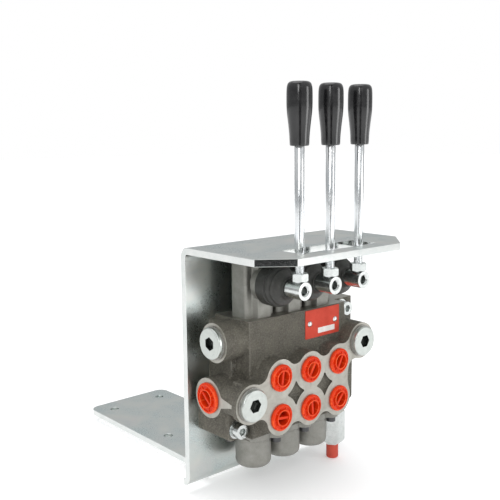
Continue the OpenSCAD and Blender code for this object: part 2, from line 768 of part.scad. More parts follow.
module mounting_nuts() color([0.80, 0.82, 0.82]) placed() at_each_bolt()
    translate([0, sheet_t + 8.1, 0]) rotate([90, 0, 0]) difference() {
        hexagon(13, 6.5);
        translate([0, 0, -1]) cylinder(r = 4.03, h = 9);
    }

bracket();
valve_body();
spool(spool_xs[0]);  // spool_1
spool(spool_xs[1]);  // spool_2
spool(spool_xs[2]);  // spool_3
spool_seals();
lever_housing(spool_xs[0]);  // lever_housing_1
lever_housing(spool_xs[1]);  // lever_housing_2
lever_housing(spool_xs[2]);  // lever_housing_3
boot(spool_xs[0]);  // boot_1
boot(spool_xs[1]);  // boot_2
boot(spool_xs[2]);  // boot_3
lever_hub(spool_xs[0]);  // lever_hub_1
lever_hub(spool_xs[1]);  // lever_hub_2
lever_hub(spool_xs[2]);  // lever_hub_3
lever_rod(spool_xs[0]);  // lever_rod_1
lever_rod(spool_xs[1]);  // lever_rod_2
lever_rod(spool_xs[2]);  // lever_rod_3
lock_nut(spool_xs[0]);  // lock_nut_1
lock_nut(spool_xs[1]);  // lock_nut_2
lock_nut(spool_xs[2]);  // lock_nut_3
knob(spool_xs[0]);  // knob_1
knob(spool_xs[1]);  // knob_2
knob(spool_xs[2]);  // knob_3
pivot_pins();
housing_screws();
spring_cap(spool_xs[0]);  // spring_cap_1
spring_cap(spool_xs[1]);  // spring_cap_2
spring_cap(spool_xs[2]);  // spring_cap_3
cap_screws();
spring_seats(spool_xs[0]);  // spring_seats_1
spring_seats(spool_xs[1]);  // spring_seats_2
spring_seats(spool_xs[2]);  // spring_seats_3
centring_spring(spool_xs[0]);  // centring_spring_1
centring_spring(spool_xs[1]);  // centring_spring_2
centring_spring(spool_xs[2]);  // centring_spring_3
end_screw(spool_xs[0]);  // end_screw_1
end_screw(spool_xs[1]);  // end_screw_2
end_screw(spool_xs[2]);  // end_screw_3
upper_port_caps();
lower_port_caps();
inlet_port_cap();
outlet_port_cap();
blanking_plugs();
plug_washers();
check_poppet();
check_spring();
relief_body();
relief_poppet();
relief_spring();
relief_adjuster();
relief_lock_nut();
relief_cap();
nameplate();
nameplate_rivets();
mounting_bolts();
mounting_washers();
mounting_nuts();
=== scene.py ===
import json
import math

import bmesh
import bpy
import numpy as np
from mathutils import Matrix, Vector


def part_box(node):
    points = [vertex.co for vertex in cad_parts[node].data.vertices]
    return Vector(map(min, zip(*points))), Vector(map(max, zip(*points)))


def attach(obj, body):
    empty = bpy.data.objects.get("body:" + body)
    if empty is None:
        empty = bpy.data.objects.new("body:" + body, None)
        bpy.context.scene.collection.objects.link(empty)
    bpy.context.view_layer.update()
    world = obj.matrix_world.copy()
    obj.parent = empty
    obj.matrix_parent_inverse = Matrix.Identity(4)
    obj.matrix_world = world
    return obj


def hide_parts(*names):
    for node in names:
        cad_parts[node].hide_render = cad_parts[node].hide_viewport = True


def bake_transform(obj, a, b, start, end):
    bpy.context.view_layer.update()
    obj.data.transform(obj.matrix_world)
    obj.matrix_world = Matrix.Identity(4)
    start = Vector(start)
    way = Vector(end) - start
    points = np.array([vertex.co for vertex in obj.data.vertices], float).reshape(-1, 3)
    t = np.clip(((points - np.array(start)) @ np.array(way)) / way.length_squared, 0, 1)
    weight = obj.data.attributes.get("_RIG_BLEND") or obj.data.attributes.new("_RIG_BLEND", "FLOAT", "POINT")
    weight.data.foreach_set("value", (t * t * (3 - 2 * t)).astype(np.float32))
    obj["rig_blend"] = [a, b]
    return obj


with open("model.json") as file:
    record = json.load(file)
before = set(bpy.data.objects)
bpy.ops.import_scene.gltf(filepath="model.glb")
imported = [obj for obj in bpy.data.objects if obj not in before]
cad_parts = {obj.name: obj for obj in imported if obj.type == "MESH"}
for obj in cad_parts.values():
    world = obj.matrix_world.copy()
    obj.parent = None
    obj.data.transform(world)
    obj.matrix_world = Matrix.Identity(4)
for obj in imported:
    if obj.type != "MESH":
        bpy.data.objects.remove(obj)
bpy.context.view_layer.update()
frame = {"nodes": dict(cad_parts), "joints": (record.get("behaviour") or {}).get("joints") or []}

MM = 0.001
LEVERS = (1, 2, 3)

# Places that the CAD model gives. "row" is the shared frame, in metres.
body_lo, body_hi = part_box("valve_body")
bracket_lo, bracket_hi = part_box("bracket")
spool_lo, spool_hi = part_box("spool_2")
ORIGIN = Vector(((spool_lo.x + spool_hi.x) / 2, body_hi.y, bracket_lo.z))  # middle spool, plate's front face


def row(x, y, z):
    """A point given in millimetres from the middle spool and the plate's front face."""
    return ORIGIN + Vector((x, y, z)) * MM


HINGES = {j["child"]: Vector(j["pos_m"]) for j in frame["joints"] if j["type"] == "hinge"}
SPOOL_X = {i: (HINGES[f"lever_{i}"].x - ORIGIN.x) / MM for i in LEVERS}
PITCH = SPOOL_X[2] - SPOOL_X[1]
SPOOL_Y = ((spool_lo.y + spool_hi.y) / 2 - ORIGIN.y) / MM
HUB_Z = HINGES["lever_2"].z / MM


# ---- mesh tools ----

def link(obj):
    bpy.context.scene.collection.objects.link(obj)
    return obj


def mesh_object(name, verts, faces):
    mesh = bpy.data.meshes.new(name)
    mesh.from_pydata([tuple(v) for v in verts], [], faces)
    mesh.update()
    return link(bpy.data.objects.new(name, mesh))


def apply_modifiers(obj):
    """Leaves obj with the mesh that its modifiers make."""
    graph = bpy.context.evaluated_depsgraph_get()
    graph.update()
    mesh = bpy.data.meshes.new_from_object(obj.evaluated_get(graph))
    obj.modifiers.clear()
    old = obj.data
    obj.data = mesh
    mesh.name = obj.name
    mesh.materials.clear()
    if old.users == 0:
        bpy.data.meshes.remove(old)
    return obj


def boolean(target, cutter, operation):
    """Applies one boolean to target and removes the cutter."""
    modifier = target.modifiers.new("boolean", "BOOLEAN")
    modifier.operation = operation
    modifier.solver = "MANIFOLD"
    modifier.object = cutter
    apply_modifiers(target)
    bpy.data.objects.remove(cutter)
    return target


def prism(name, outline, start, end, axis):
    """Solid of an outline of (u, v) points, from start to end along axis "x", "y" or "z", in mm."""
    place = {"x": lambda u, v, w: row(w, u, v),
             "y": lambda u, v, w: row(u, w, v),
             "z": lambda u, v, w: row(u, v, w)}[axis]
    count = len(outline)
    verts = [place(u, v, start) for u, v in outline] + [place(u, v, end) for u, v in outline]
    faces = [list(range(count)), list(range(2 * count - 1, count - 1, -1))]
    faces += [[i, i + count, (i + 1) % count + count, (i + 1) % count] for i in range(count)]
    obj = mesh_object(name, verts, faces)
    outward(obj)
    return obj


def outward(obj):
    """Turns every face of a closed mesh to point out."""
    work = bmesh.new()
    work.from_mesh(obj.data)
    bmesh.ops.recalc_face_normals(work, faces=work.faces)
    work.to_mesh(obj.data)
    work.free()


def disc_outline(u, v, radius, count=72):
    return [(u + radius * math.cos(2 * math.pi * k / count), v + radius * math.sin(2 * math.pi * k / count))
            for k in range(count)]


def rod(u, v, radius, start, end, axis, count=72):
    return prism("rod", disc_outline(u, v, radius, count), start, end, axis)


def rounded_outline(u0, v0, u1, v1, radius, steps=6):
    points = []
    for cu, cv, first in ((u1 - radius, v1 - radius, 0), (u0 + radius, v1 - radius, 90),
                          (u0 + radius, v0 + radius, 180), (u1 - radius, v0 + radius, 270)):
        for k in range(steps + 1):
            angle = math.radians(first + 90 * k / steps)
            points.append((cu + radius * math.cos(angle), cv + radius * math.sin(angle)))
    return points


def lathe(name, profile, count, centre, axis):
    """Turns a closed profile of (radius, distance) points in mm about axis "+z" or "-y" at centre."""
    turn = {"+z": Matrix.Identity(3), "-y": Matrix(((1, 0, 0), (0, 0, -1), (0, 1, 0)))}[axis]
    verts, rings = [], []
    for radius, height in profile:
        if radius < 1e-6:
            rings.append([len(verts)] * count)
            verts.append(Vector((0, 0, height)))
        else:
            rings.append(list(range(len(verts), len(verts) + count)))
            for k in range(count):
                angle = 2 * math.pi * k / count
                verts.append(Vector((radius * math.cos(angle), radius * math.sin(angle), height)))
    faces = []
    closed = profile[0][0] > 1e-6 or profile[-1][0] > 1e-6
    pairs = list(zip(rings, rings[1:] + ([rings[0]] if closed else [])))
    for low, high in pairs[:len(rings) if closed else len(rings) - 1]:
        for k in range(count):
            corners = [low[k], low[(k + 1) % count], high[(k + 1) % count], high[k]]
            unique = list(dict.fromkeys(corners))
            if len(unique) > 2:
                faces.append(unique)
    placed = [centre + turn @ (v * MM) for v in verts]
    obj = mesh_object(name, placed, faces)
    outward(obj)
    return obj


def smooth_curve(points, steps):
    """Catmull-Rom curve through points, with steps samples between each two."""
    pts = [Vector(p) for p in points]
    pts = [pts[0] * 2 - pts[1]] + pts + [pts[-1] * 2 - pts[-2]]
    out = []
    for p0, p1, p2, p3 in zip(pts, pts[1:], pts[2:], pts[3:]):
        for k in range(steps):
            t = k / steps
            out.append(0.5 * (2 * p1 + (p2 - p0) * t + (2 * p0 - 5 * p1 + 4 * p2 - p3) * t * t
                              + (3 * p1 - p0 - 3 * p2 + p3) * t ** 3))
    return [tuple(p) for p in out + [pts[-2]]]


def soften(obj, angle=35):
    """Smooth shading, with edges over the angle kept sharp."""
    obj.data.shade_smooth()
    obj.data.set_sharp_from_angle(angle=math.radians(angle))
    return obj


def welded_copy(node, name):
    """A copy of a CAD node with its vertices joined and its flat faces whole."""
    obj = link(bpy.data.objects.new(name, frame["nodes"][node].data.copy()))
    obj.data.materials.clear()
    for attribute in [a.name for a in obj.data.attributes if a.name == "custom_normal"]:
        obj.data.attributes.remove(obj.data.attributes[attribute])
    work = bmesh.new()
    work.from_mesh(obj.data)
    bmesh.ops.remove_doubles(work, verts=work.verts, dist=2e-6)
    bmesh.ops.dissolve_degenerate(work, dist=1e-6, edges=work.edges)
    bmesh.ops.dissolve_limit(work, angle_limit=math.radians(0.6), use_dissolve_boundaries=False,
                             verts=work.verts, edges=work.edges)
    work.to_mesh(obj.data)
    work.free()
    return obj


def bevelled(obj, width, segments=2, angle=28):
    """Rounds the sharp edges of a machined or moulded piece by a small width in mm."""
    modifier = obj.modifiers.new("edges", "BEVEL")
    modifier.width = width * MM
    modifier.segments = segments
    modifier.limit_method = "ANGLE"
    modifier.angle_limit = math.radians(angle)
    modifier.use_clamp_overlap = True
    modifier.miter_outer = "MITER_ARC"
    apply_modifiers(obj)
    return keep_flat(soften(obj, 40))


def keep_flat(obj):
    """Large flat faces shade flat up to their rounded edges."""
    modifier = obj.modifiers.new("flat_faces", "WEIGHTED_NORMAL")
    modifier.keep_sharp = True
    return obj


def finish_piece(obj, body, materials, node=None):
    """Gives a piece its materials and its body, and hides the CAD node that it stands for."""
    for material in materials:
        obj.data.materials.append(material)
    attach(obj, body)
    if node:
        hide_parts(node)


def refined(node, body, slot, width, angle=28):
    """The CAD node's shape with rounded edges, in its slot's material."""
    obj = bevelled(welded_copy(node, node + "_finished"), width, 2, angle)
    finish_piece(obj, body, [LOOK[slot]], node)


def loose_parts(obj):
    """Splits a mesh into its separate solids, from left to right."""
    work = bmesh.new()
    work.from_mesh(obj.data)
    groups, seen = [], set()
    for seed in work.verts:
        if seed in seen:
            continue
        stack, found = [seed], {seed}
        while stack:
            for edge in stack.pop().link_edges:
                for vert in edge.verts:
                    if vert not in found:
                        found.add(vert)
                        stack.append(vert)
        seen |= found
        groups.append(found)

    def middle(group):
        across = [v.co.x for v in group]
        return (min(across) + max(across)) / 2

    parts = []
    for found in sorted(groups, key=middle):
        mesh = bpy.data.meshes.new(obj.name)
        part = bmesh.new()
        index = {v: part.verts.new(v.co) for v in sorted(found, key=lambda v: v.index)}
        for face in work.faces:
            if face.verts[0] in found:
                part.faces.new([index[v] for v in face.verts])
        part.to_mesh(mesh)
        part.free()
        parts.append(link(bpy.data.objects.new(obj.name, mesh)))
    work.free()
    bpy.data.objects.remove(obj)
    return parts


def to_local(obj, axis):
    """Moves the object's origin to its middle, with its local Z along axis, so patterns can turn about it."""
    co = np.array([v.co for v in obj.data.vertices])
    centre = Vector(((co.min(0) + co.max(0)) / 2).tolist())
    turn = Vector(axis).to_track_quat("Z", "Y").to_matrix().to_4x4()
    world = Matrix.Translation(centre) @ turn
    obj.data.transform(world.inverted())
    obj.matrix_world = world
    return obj


# ---- material tools ----

class Paint:
    """One procedural material. Lengths are in millimetres of the object's own space."""

    def __init__(self, name, color, roughness, metallic=0.0, **sockets):
        self.material = bpy.data.materials.new(name)
        self.material.use_nodes = True
        self.tree = self.material.node_tree
        self.shader = self.tree.nodes["Principled BSDF"]
        self.shader.inputs["Base Color"].default_value = (*color, 1)
        self.shader.inputs["Roughness"].default_value = roughness
        self.shader.inputs["Metallic"].default_value = metallic
        for socket, value in sockets.items():
            self.shader.inputs[socket].default_value = value
        coords = self.tree.nodes.new("ShaderNodeTexCoord")
        self.space = coords.outputs["Object"]
        self.height = None

    def link(self, a, b):
        self.tree.links.new(a, b)

    def mapping(self, stretch=(1, 1, 1)):
        node = self.tree.nodes.new("ShaderNodeMapping")
        node.inputs["Scale"].default_value = [1000 * s for s in stretch]
        self.link(self.space, node.inputs["Vector"])
        return node.outputs["Vector"]

    def noise(self, size, detail=3.0, rough=0.55, stretch=(1, 1, 1), distortion=0.0):
        """Noise whose largest lumps are about size mm across."""
        node = self.tree.nodes.new("ShaderNodeTexNoise")
        node.inputs["Scale"].default_value = 1 / size
        node.inputs["Detail"].default_value = detail
        node.inputs["Roughness"].default_value = rough
        node.inputs["Distortion"].default_value = distortion
        self.link(self.mapping(stretch), node.inputs["Vector"])
        return node.outputs["Fac"]

    def cells(self, size):
        node = self.tree.nodes.new("ShaderNodeTexVoronoi")
        node.inputs["Scale"].default_value = 1 / size
        self.link(self.mapping(), node.inputs["Vector"])
        return node.outputs["Distance"]

    def rings(self, size):
        """Fine turning marks about the object's Z axis."""
        node = self.tree.nodes.new("ShaderNodeTexWave")
        node.wave_type = "RINGS"
        node.rings_direction = "Z"
        node.inputs["Scale"].default_value = 0.314 / size
        node.inputs["Distortion"].default_value = 0.4
        node.inputs["Detail"].default_value = 2
        self.link(self.mapping(), node.inputs["Vector"])
        return node.outputs["Fac"]

    def edges(self, low=0.50, high=0.56):
        """1 on worn convex edges."""
        node = self.tree.nodes.new("ShaderNodeNewGeometry")
        return self.ramp(node.outputs["Pointiness"], low, high)

    def hollow_shade(self, low=0.40, high=0.495):
        """1 in recesses and inner corners, where the materials darken their colour as painted shade."""
        node = self.tree.nodes.new("ShaderNodeNewGeometry")
        return self.ramp(node.outputs["Pointiness"], high, low)

    def ramp(self, value, low, high, to_low=0.0, to_high=1.0):
        node = self.tree.nodes.new("ShaderNodeMapRange")
        node.inputs["From Min"].default_value = low
        node.inputs["From Max"].default_value = high
        node.inputs["To Min"].default_value = to_low
        node.inputs["To Max"].default_value = to_high
        self.link(value, node.inputs["Value"])
        return node.outputs["Result"]

    def math(self, operation, a, b):
        node = self.tree.nodes.new("ShaderNodeMath")
        node.operation = operation
        for socket, value in zip(node.inputs, (a, b)):
            if isinstance(value, (int, float)):
                socket.default_value = value
            else:
                self.link(value, socket)
        return node.outputs[0]

    def mix(self, factor, a, b):
        node = self.tree.nodes.new("ShaderNodeMix")
        node.data_type = "RGBA"
        for socket, value in ((node.inputs[0], factor), (node.inputs[6], a), (node.inputs[7], b)):
            if isinstance(value, tuple):
                socket.default_value = (*value, 1)
            elif isinstance(value, (int, float)):
                socket.default_value = value
            else:
                self.link(value, socket)
        return node.outputs[2]

    def wash(self, factor, amount, a, b):
        return self.mix(self.math("MULTIPLY", factor, amount), a, b)

    def color(self, value):
        self.link(value, self.shader.inputs["Base Color"])

    def roughness(self, value):
        self.link(value, self.shader.inputs["Roughness"])

    def bump(self, value, depth):
        """Adds relief of about depth mm."""
        node = self.tree.nodes.new("ShaderNodeBump")
        node.inputs["Distance"].default_value = depth * MM
        self.link(value, node.inputs["Height"])
        if self.height is not None:
            self.link(self.height, node.inputs["Normal"])
        self.height = node.outputs["Normal"]
        self.link(self.height, self.shader.inputs["Normal"])


def clouded(p, cloud, dark, light, rough, rough_range, relief, depth):
    """Two tones in clouds, with a roughness pattern between two values and a fine relief in mm."""
    p.color(p.mix(p.ramp(cloud, 0.3, 0.7), dark, light))
    p.roughness(p.ramp(rough, 0.3, 0.7, *rough_range))
    p.bump(relief, depth)
    return p.material


def zinc_sheet():
    """Cold-rolled sheet, zinc plated and blue passivated."""
    p = Paint("zinc_sheet", (0.56, 0.59, 0.58), 0.24, 1.0)
    cloud = p.noise(38, 4, 0.6, distortion=0.6)
    tint = p.mix(p.ramp(cloud, 0.35, 0.68), (0.52, 0.585, 0.580), (0.63, 0.640, 0.605))
    warm = p.ramp(p.noise(62, 3, 0.5, distortion=1.1), 0.50, 0.74)
    tint = p.wash(warm, 0.35, tint, (0.61, 0.575, 0.59))
    spots = p.ramp(p.noise(2.6, 5, 0.7), 0.60, 0.72)
    tint = p.wash(spots, 0.30, tint, (0.42, 0.44, 0.43))
    p.color(tint)
    grain = p.noise(0.9, 4, 0.6)
    rough = p.ramp(cloud, 0.3, 0.7, 0.26, 0.33)
    p.roughness(p.math("ADD", rough, p.ramp(grain, 0.3, 0.7, -0.03, 0.04)))
    p.bump(grain, 0.0012)
    p.bump(p.noise(30, 1, 0.4), 0.012)
    return p.material


def zinc_edge():
    """The sheet's sawn and plated edges, brighter and smoother than its faces."""
    p = Paint("zinc_edge", (0.84, 0.86, 0.85), 0.10, 1.0)
    return clouded(p, p.noise(9, 4, 0.6), (0.60, 0.63, 0.615), (0.70, 0.71, 0.695),
                   p.noise(2.5, 4), (0.08, 0.16), p.noise(1.4, 3, 0.6), 0.004)


def cast_iron():
    """Sand-cast iron under a thin phosphate coat."""
    p = Paint("cast_iron", (0.115, 0.107, 0.09), 0.66, 0.25)
    cloud = p.noise(14, 4, 0.6)
    tone = p.mix(p.ramp(cloud, 0.3, 0.72), (0.070, 0.065, 0.052), (0.128, 0.119, 0.094))
    grain = p.noise(1.5, 5, 0.72)
    tone = p.mix(p.ramp(grain, 0.46, 0.66, 0, 0.75), tone, (0.235, 0.218, 0.178))
    tone = p.wash(p.ramp(p.cells(2.1), 0.0, 0.34, 1, 0), 0.55, tone, (0.040, 0.037, 0.030))
    tone = p.wash(p.edges(0.515, 0.575), 0.60, tone, (0.34, 0.325, 0.29))
    # Painted shade: the iron's colour goes darker in recesses and inner corners.
    tone = p.wash(p.hollow_shade(0.42, 0.485), 0.45, tone, (0.045, 0.042, 0.036))
    p.color(tone)
    p.roughness(p.ramp(grain, 0.3, 0.7, 0.52, 0.74))
    p.bump(p.noise(3.0, 4, 0.65), 0.80)
    p.bump(grain, 0.70)
    p.bump(p.noise(0.42, 3, 0.6), 0.07)
    return p.material


def machined_iron():
    """Milled and ground iron face, with a faint haze and tool marks."""
    p = Paint("machined_iron", (0.37, 0.36, 0.33), 0.36, 0.9)
    cloud = p.noise(11, 5, 0.62, distortion=0.8)
    tone = p.mix(p.ramp(cloud, 0.32, 0.70), (0.31, 0.298, 0.262), (0.44, 0.43, 0.39))
    specks = p.ramp(p.noise(0.8, 3, 0.6), 0.62, 0.74)
    tone = p.wash(specks, 0.5, tone, (0.21, 0.195, 0.17))
    p.color(tone)
    lines = p.noise(0.55, 3, 0.6, stretch=(0.06, 1, 1))
    p.roughness(p.math("ADD", p.ramp(cloud, 0.3, 0.7, 0.34, 0.46), p.ramp(lines, 0.3, 0.7, -0.05, 0.05)))
    p.bump(lines, 0.012)
    p.bump(p.noise(5, 3, 0.6), 0.02)
    return p.material


def die_cast():
    """Bead-blasted aluminium casting."""
    p = Paint("die_cast", (0.33, 0.325, 0.30), 0.5, 0.7)
    cloud = p.noise(9, 4, 0.6)
    tone = p.mix(p.ramp(cloud, 0.3, 0.7), (0.205, 0.202, 0.180), (0.280, 0.278, 0.255))
    grain = p.noise(0.7, 4, 0.6)
    tone = p.mix(p.ramp(grain, 0.42, 0.66, 0, 0.35), tone, (0.37, 0.365, 0.335))
    tone = p.wash(p.edges(0.515, 0.57), 0.55, tone, (0.50, 0.49, 0.46))
    # Painted shade: the casting's colour goes darker in recesses and inner corners.
    tone = p.wash(p.hollow_shade(0.42, 0.485), 0.5, tone, (0.13, 0.125, 0.115))
    p.color(tone)
    p.roughness(p.ramp(grain, 0.3, 0.7, 0.42, 0.60))
    p.bump(grain, 0.055)
    p.bump(p.noise(4, 2, 0.5), 0.10)
    return p.material


def machined_aluminium():
    p = Paint("machined_aluminium", (0.60, 0.60, 0.58), 0.33, 0.95)
    lines = p.noise(0.5, 3, 0.6, stretch=(0.08, 1, 1))
    return clouded(p, lines, (0.55, 0.55, 0.53), (0.66, 0.66, 0.64), p.noise(6, 3), (0.28, 0.42), lines, 0.01)


def boot_rubber():
    p = Paint("boot_rubber", (0.020, 0.020, 0.019), 0.48)
    dust = p.ramp(p.noise(3.0, 5, 0.65), 0.48, 0.78, 0, 0.5)
    p.color(p.mix(dust, (0.022, 0.022, 0.019), (0.060, 0.060, 0.052)))
    p.roughness(p.ramp(p.noise(1.6, 4), 0.3, 0.7, 0.38, 0.60))
    p.bump(p.noise(0.5, 3, 0.6), 0.03)
    p.bump(p.noise(6, 2), 0.12)
    return p.material


def steel_tone(p, size, dark, light):
    """Colours plated steel in clouds of about size mm, brighter on its edges, and returns the clouds."""
    cloud = p.noise(size, 4, 0.6)
    tone = p.mix(p.ramp(cloud, 0.3, 0.72), dark, light)
    bright = tuple(min(1.0, c * 1.15) for c in light)
    p.color(p.wash(p.edges(0.51, 0.58), 0.5, tone, bright))
    return cloud


def turned(name, dark, light, rough_low, rough_high, ring=0.16):
    """Turned and plated steel, with marks that run round the piece's own axis."""
    p = Paint(name, light, rough_low, 1.0)
    marks = p.rings(ring)
    cloud = steel_tone(p, 5, dark, light)
    rough = p.ramp(cloud, 0.3, 0.7, rough_low, rough_high)
    p.roughness(p.math("ADD", rough, p.ramp(marks, 0, 1, -0.03, 0.03)))
    p.bump(marks, 0.006)
    p.bump(p.noise(1.2, 4, 0.6), 0.012)
    return p.material


def plated(name, dark, light, rough_low, rough_high, grain_size=0.8):
    """Bright plating over drawn or forged steel."""
    p = Paint(name, light, rough_low, 1.0)
    steel_tone(p, 4, dark, light)
    p.roughness(p.ramp(p.noise(grain_size * 3, 4), 0.3, 0.7, rough_low, rough_high))
    p.bump(p.noise(grain_size, 4, 0.6), 0.012)
    return p.material


def drawn_bar():
    """Bright plated bar, with faint lines along its length."""
    p = Paint("plated_rod", (0.80, 0.82, 0.83), 0.2, 1.0)
    lines = p.noise(0.5, 3, 0.6, stretch=(1, 1, 0.03))
    cloud = p.noise(12, 4, 0.6)
    p.color(p.mix(p.ramp(cloud, 0.3, 0.7), (0.74, 0.77, 0.79), (0.85, 0.86, 0.86)))
    p.roughness(p.math("ADD", p.ramp(cloud, 0.3, 0.7, 0.16, 0.26), p.ramp(lines, 0.3, 0.7, -0.03, 0.04)))
    p.bump(lines, 0.006)
    return p.material


def knob_plastic():
    """Glossy phenolic, with slight orange peel and handling marks."""
    p = Paint("knob_plastic", (0.006, 0.006, 0.0065), 0.17, **{"Coat Weight": 0.35, "Coat Roughness": 0.08})
    cloud = p.noise(7, 4, 0.6)
    p.color(p.mix(p.ramp(cloud, 0.35, 0.7), (0.0045, 0.0045, 0.005), (0.011, 0.011, 0.0115)))
    p.roughness(p.ramp(cloud, 0.3, 0.7, 0.14, 0.26))
    p.bump(p.noise(3.2, 2, 0.5), 0.035)
    return p.material


def black_steel():
    p = Paint("black_steel", (0.03, 0.03, 0.032), 0.42, 0.8)
    cloud = p.noise(2.5, 4, 0.6)
    tone = p.mix(p.ramp(cloud, 0.3, 0.7), (0.022, 0.022, 0.024), (0.050, 0.050, 0.053))
    p.color(p.wash(p.edges(0.51, 0.58), 0.6, tone, (0.20, 0.20, 0.20)))
    p.roughness(p.ramp(cloud, 0.3, 0.7, 0.34, 0.52))
    p.bump(p.noise(0.4, 3, 0.6), 0.015)
    return p.material


def seal_rubber():
    p = Paint("seal_rubber", (0.015, 0.015, 0.015), 0.4)
    return clouded(p, p.noise(1.5, 4), (0.012, 0.012, 0.012), (0.028, 0.028, 0.027),
                   p.noise(0.8, 3), (0.32, 0.5), p.noise(0.3, 2), 0.01)


def waxy_plastic(name, base, deep, light, rough=(0.34, 0.48)):
    """Moulded polyethylene: a little light gets into it, and its edges are paler."""
    p = Paint(name, base, rough[0], **{
        "Specular IOR Level": 0.18, "Subsurface Weight": 0.12, "Subsurface Scale": 0.003,
        "Subsurface Radius": (1.0, 0.35, 0.12)})
    cloud = p.noise(5, 4, 0.6)
    tone = p.mix(p.ramp(cloud, 0.3, 0.7), deep, base)
    tone = p.wash(p.edges(0.51, 0.58), 0.55, tone, light)
    # Painted shade: the plastic's colour goes towards its deep tone in recesses and inner corners.
    tone = p.wash(p.hollow_shade(0.42, 0.485), 0.25, tone, deep)
    p.color(tone)
    p.roughness(p.ramp(p.noise(2.4, 3), 0.3, 0.7, *rough))
    p.bump(p.noise(2.6, 3, 0.5), 0.012)
    return p.material


def washer_metal():
    p = Paint("washer_steel", (0.34, 0.33, 0.31), 0.42, 0.85)
    cloud = p.noise(3, 4, 0.6)
    return clouded(p, cloud, (0.26, 0.25, 0.235), (0.42, 0.41, 0.39),
                   cloud, (0.34, 0.52), p.noise(0.6, 3), 0.02)


def plate_red():
    """Red print on a thin aluminium plate."""
    p = Paint("plate_red", (0.56, 0.045, 0.030), 0.55, **{"Specular IOR Level": 0.12})
    return clouded(p, p.noise(9, 4, 0.6), (0.50, 0.055, 0.034), (0.60, 0.075, 0.048),
                   p.noise(2, 4), (0.52, 0.66), p.noise(0.5, 3, 0.6), 0.012)


def plate_white():
    p = Paint("plate_white", (0.74, 0.70, 0.68), 0.42)
    return clouded(p, p.noise(3, 4), (0.70, 0.64, 0.61), (0.80, 0.77, 0.75),
                   p.noise(1, 3), (0.36, 0.5), p.noise(0.4, 3), 0.008)


LOOK = {
    "zinc_sheet": zinc_sheet(),
    "zinc_edge": zinc_edge(),
    "cast_iron": cast_iron(),
    "machined_iron": machined_iron(),
    "die_cast": die_cast(),
    "machined_aluminium": machined_aluminium(),
    "boot_rubber": boot_rubber(),
    "hub_steel": turned("hub_steel", (0.52, 0.54, 0.53), (0.68, 0.70, 0.69), 0.16, 0.26),
    "plug_steel": turned("plug_steel", (0.46, 0.49, 0.465), (0.55, 0.575, 0.55), 0.28, 0.36),
    "socket_steel": plated("socket_steel", (0.13, 0.137, 0.132), (0.22, 0.23, 0.22), 0.14, 0.24, 0.6),
    "zinc_fastener": plated("zinc_fastener", (0.49, 0.52, 0.505), (0.62, 0.64, 0.63), 0.20, 0.28),
    "plated_rod": drawn_bar(),
    "knob_plastic": knob_plastic(),
    "ground_steel": plated("ground_steel", (0.55, 0.56, 0.58), (0.66, 0.67, 0.69), 0.12, 0.22, 0.5),
    "turned_steel": plated("turned_steel", (0.42, 0.42, 0.42), (0.56, 0.56, 0.56), 0.26, 0.40, 0.6),
    "spring_steel": plated("spring_steel", (0.22, 0.23, 0.25), (0.34, 0.35, 0.37), 0.25, 0.40, 0.5),
    "black_steel": black_steel(),
    "seal_rubber": seal_rubber(),
    "cap_plastic": waxy_plastic("cap_plastic", (0.70, 0.036, 0.003), (0.58, 0.024, 0.002),
                                (0.84, 0.13, 0.030)),
    "relief_cap_plastic": waxy_plastic("relief_cap_plastic", (0.50, 0.065, 0.040), (0.42, 0.045, 0.028),
                                       (0.62, 0.15, 0.11), (0.42, 0.58)),
    "washer_steel": washer_metal(),
    "plate_red": plate_red(),
    "plate_white": plate_white(),
    "rivet_aluminium": plated("rivet_aluminium", (0.70, 0.70, 0.69), (0.84, 0.84, 0.83), 0.22, 0.32, 0.4),
}


# ---- valve block ----

# In mm, as row() takes them. A pair is a bore's centre, across its axis.
VOXEL = 0.75
GROW = 2.5
BLOCK_TOP = body_hi.z / MM
PORT_FACE = (body_lo.y - ORIGIN.y) / MM
INLET_FACE = -84
PORT_CAPS_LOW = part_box("lower_port_caps")
PORT_CAPS_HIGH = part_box("upper_port_caps")
PORT_Z = [(b[0].z + b[1].z) / 2 / MM for b in (PORT_CAPS_LOW, PORT_CAPS_HIGH)]
BLOCK_BOTTOM = 49
BLOCK_FRONT = -45
LUG_FRONT = -30
LUG_STOCK = 1.5
LUG_STEP = -57.8
SIDE_PLUG = (-26, 135)
SIDE_PLUG_FACE = -81
INLET = (-21, 86.6)
OUTLET = (-21, 100)
OUTLET_FACE = 79
PLUG_LEFT = (-69.4, 87.3)
PLUG_RIM_BACK = -54
PLUG_RIGHT = (66.8, 116.5)
BOLT_LOW = (-62, 55.5)
BOLT_HIGH = (71, 142.7)
RELIEF = (64.5, -27)
PORT_BORE, PLUG_BORE, MAIN_BORE = 7.75, 8.5, 9.3
CHECK_BORE, RELIEF_BORE, SPOOL_BORE, BOLT_HOLE = 7.03, 8.05, 8.03, 4.5
PLUG_BOSS, PLUG_NECK, INLET_BOSS, OUTLET_BOSS, RELIEF_BOSS = 17, 14.3, 17.3, 15.5, 12
SPOT_HIGH, SPOT_LOW = 9, 8.5  # spot faces of the two fixing bolts


def port_outline():
    """Outer outline (X, Z in mm) of the machined port face, read from the CAD block."""
    work = bmesh.new()
    work.from_mesh(frame["nodes"]["valve_body"].data)
    bmesh.ops.remove_doubles(work, verts=work.verts, dist=2e-6)
    work.normal_update()
    on_face = {f for f in work.faces
               if f.normal.y < -0.999 and all(abs(v.co.y - body_lo.y) < 1e-5 for v in f.verts)}
    follow = {}
    for face in on_face:
        for loop in face.loops:
            others = [f for f in loop.edge.link_faces if f is not face and f in on_face]
            if not others:
                follow[loop.vert] = loop.link_loop_next.vert
    outlines = []
    while follow:
        start, vert = follow.popitem()
        ring = [start]
        while vert is not start and vert in follow:
            ring.append(vert)
            vert = follow.pop(vert)
        outlines.append([((v.co.x - ORIGIN.x) / MM, (v.co.z - ORIGIN.z) / MM) for v in ring])
    work.free()
    return max(outlines, key=lambda ring: max(p[0] for p in ring) - min(p[0] for p in ring))


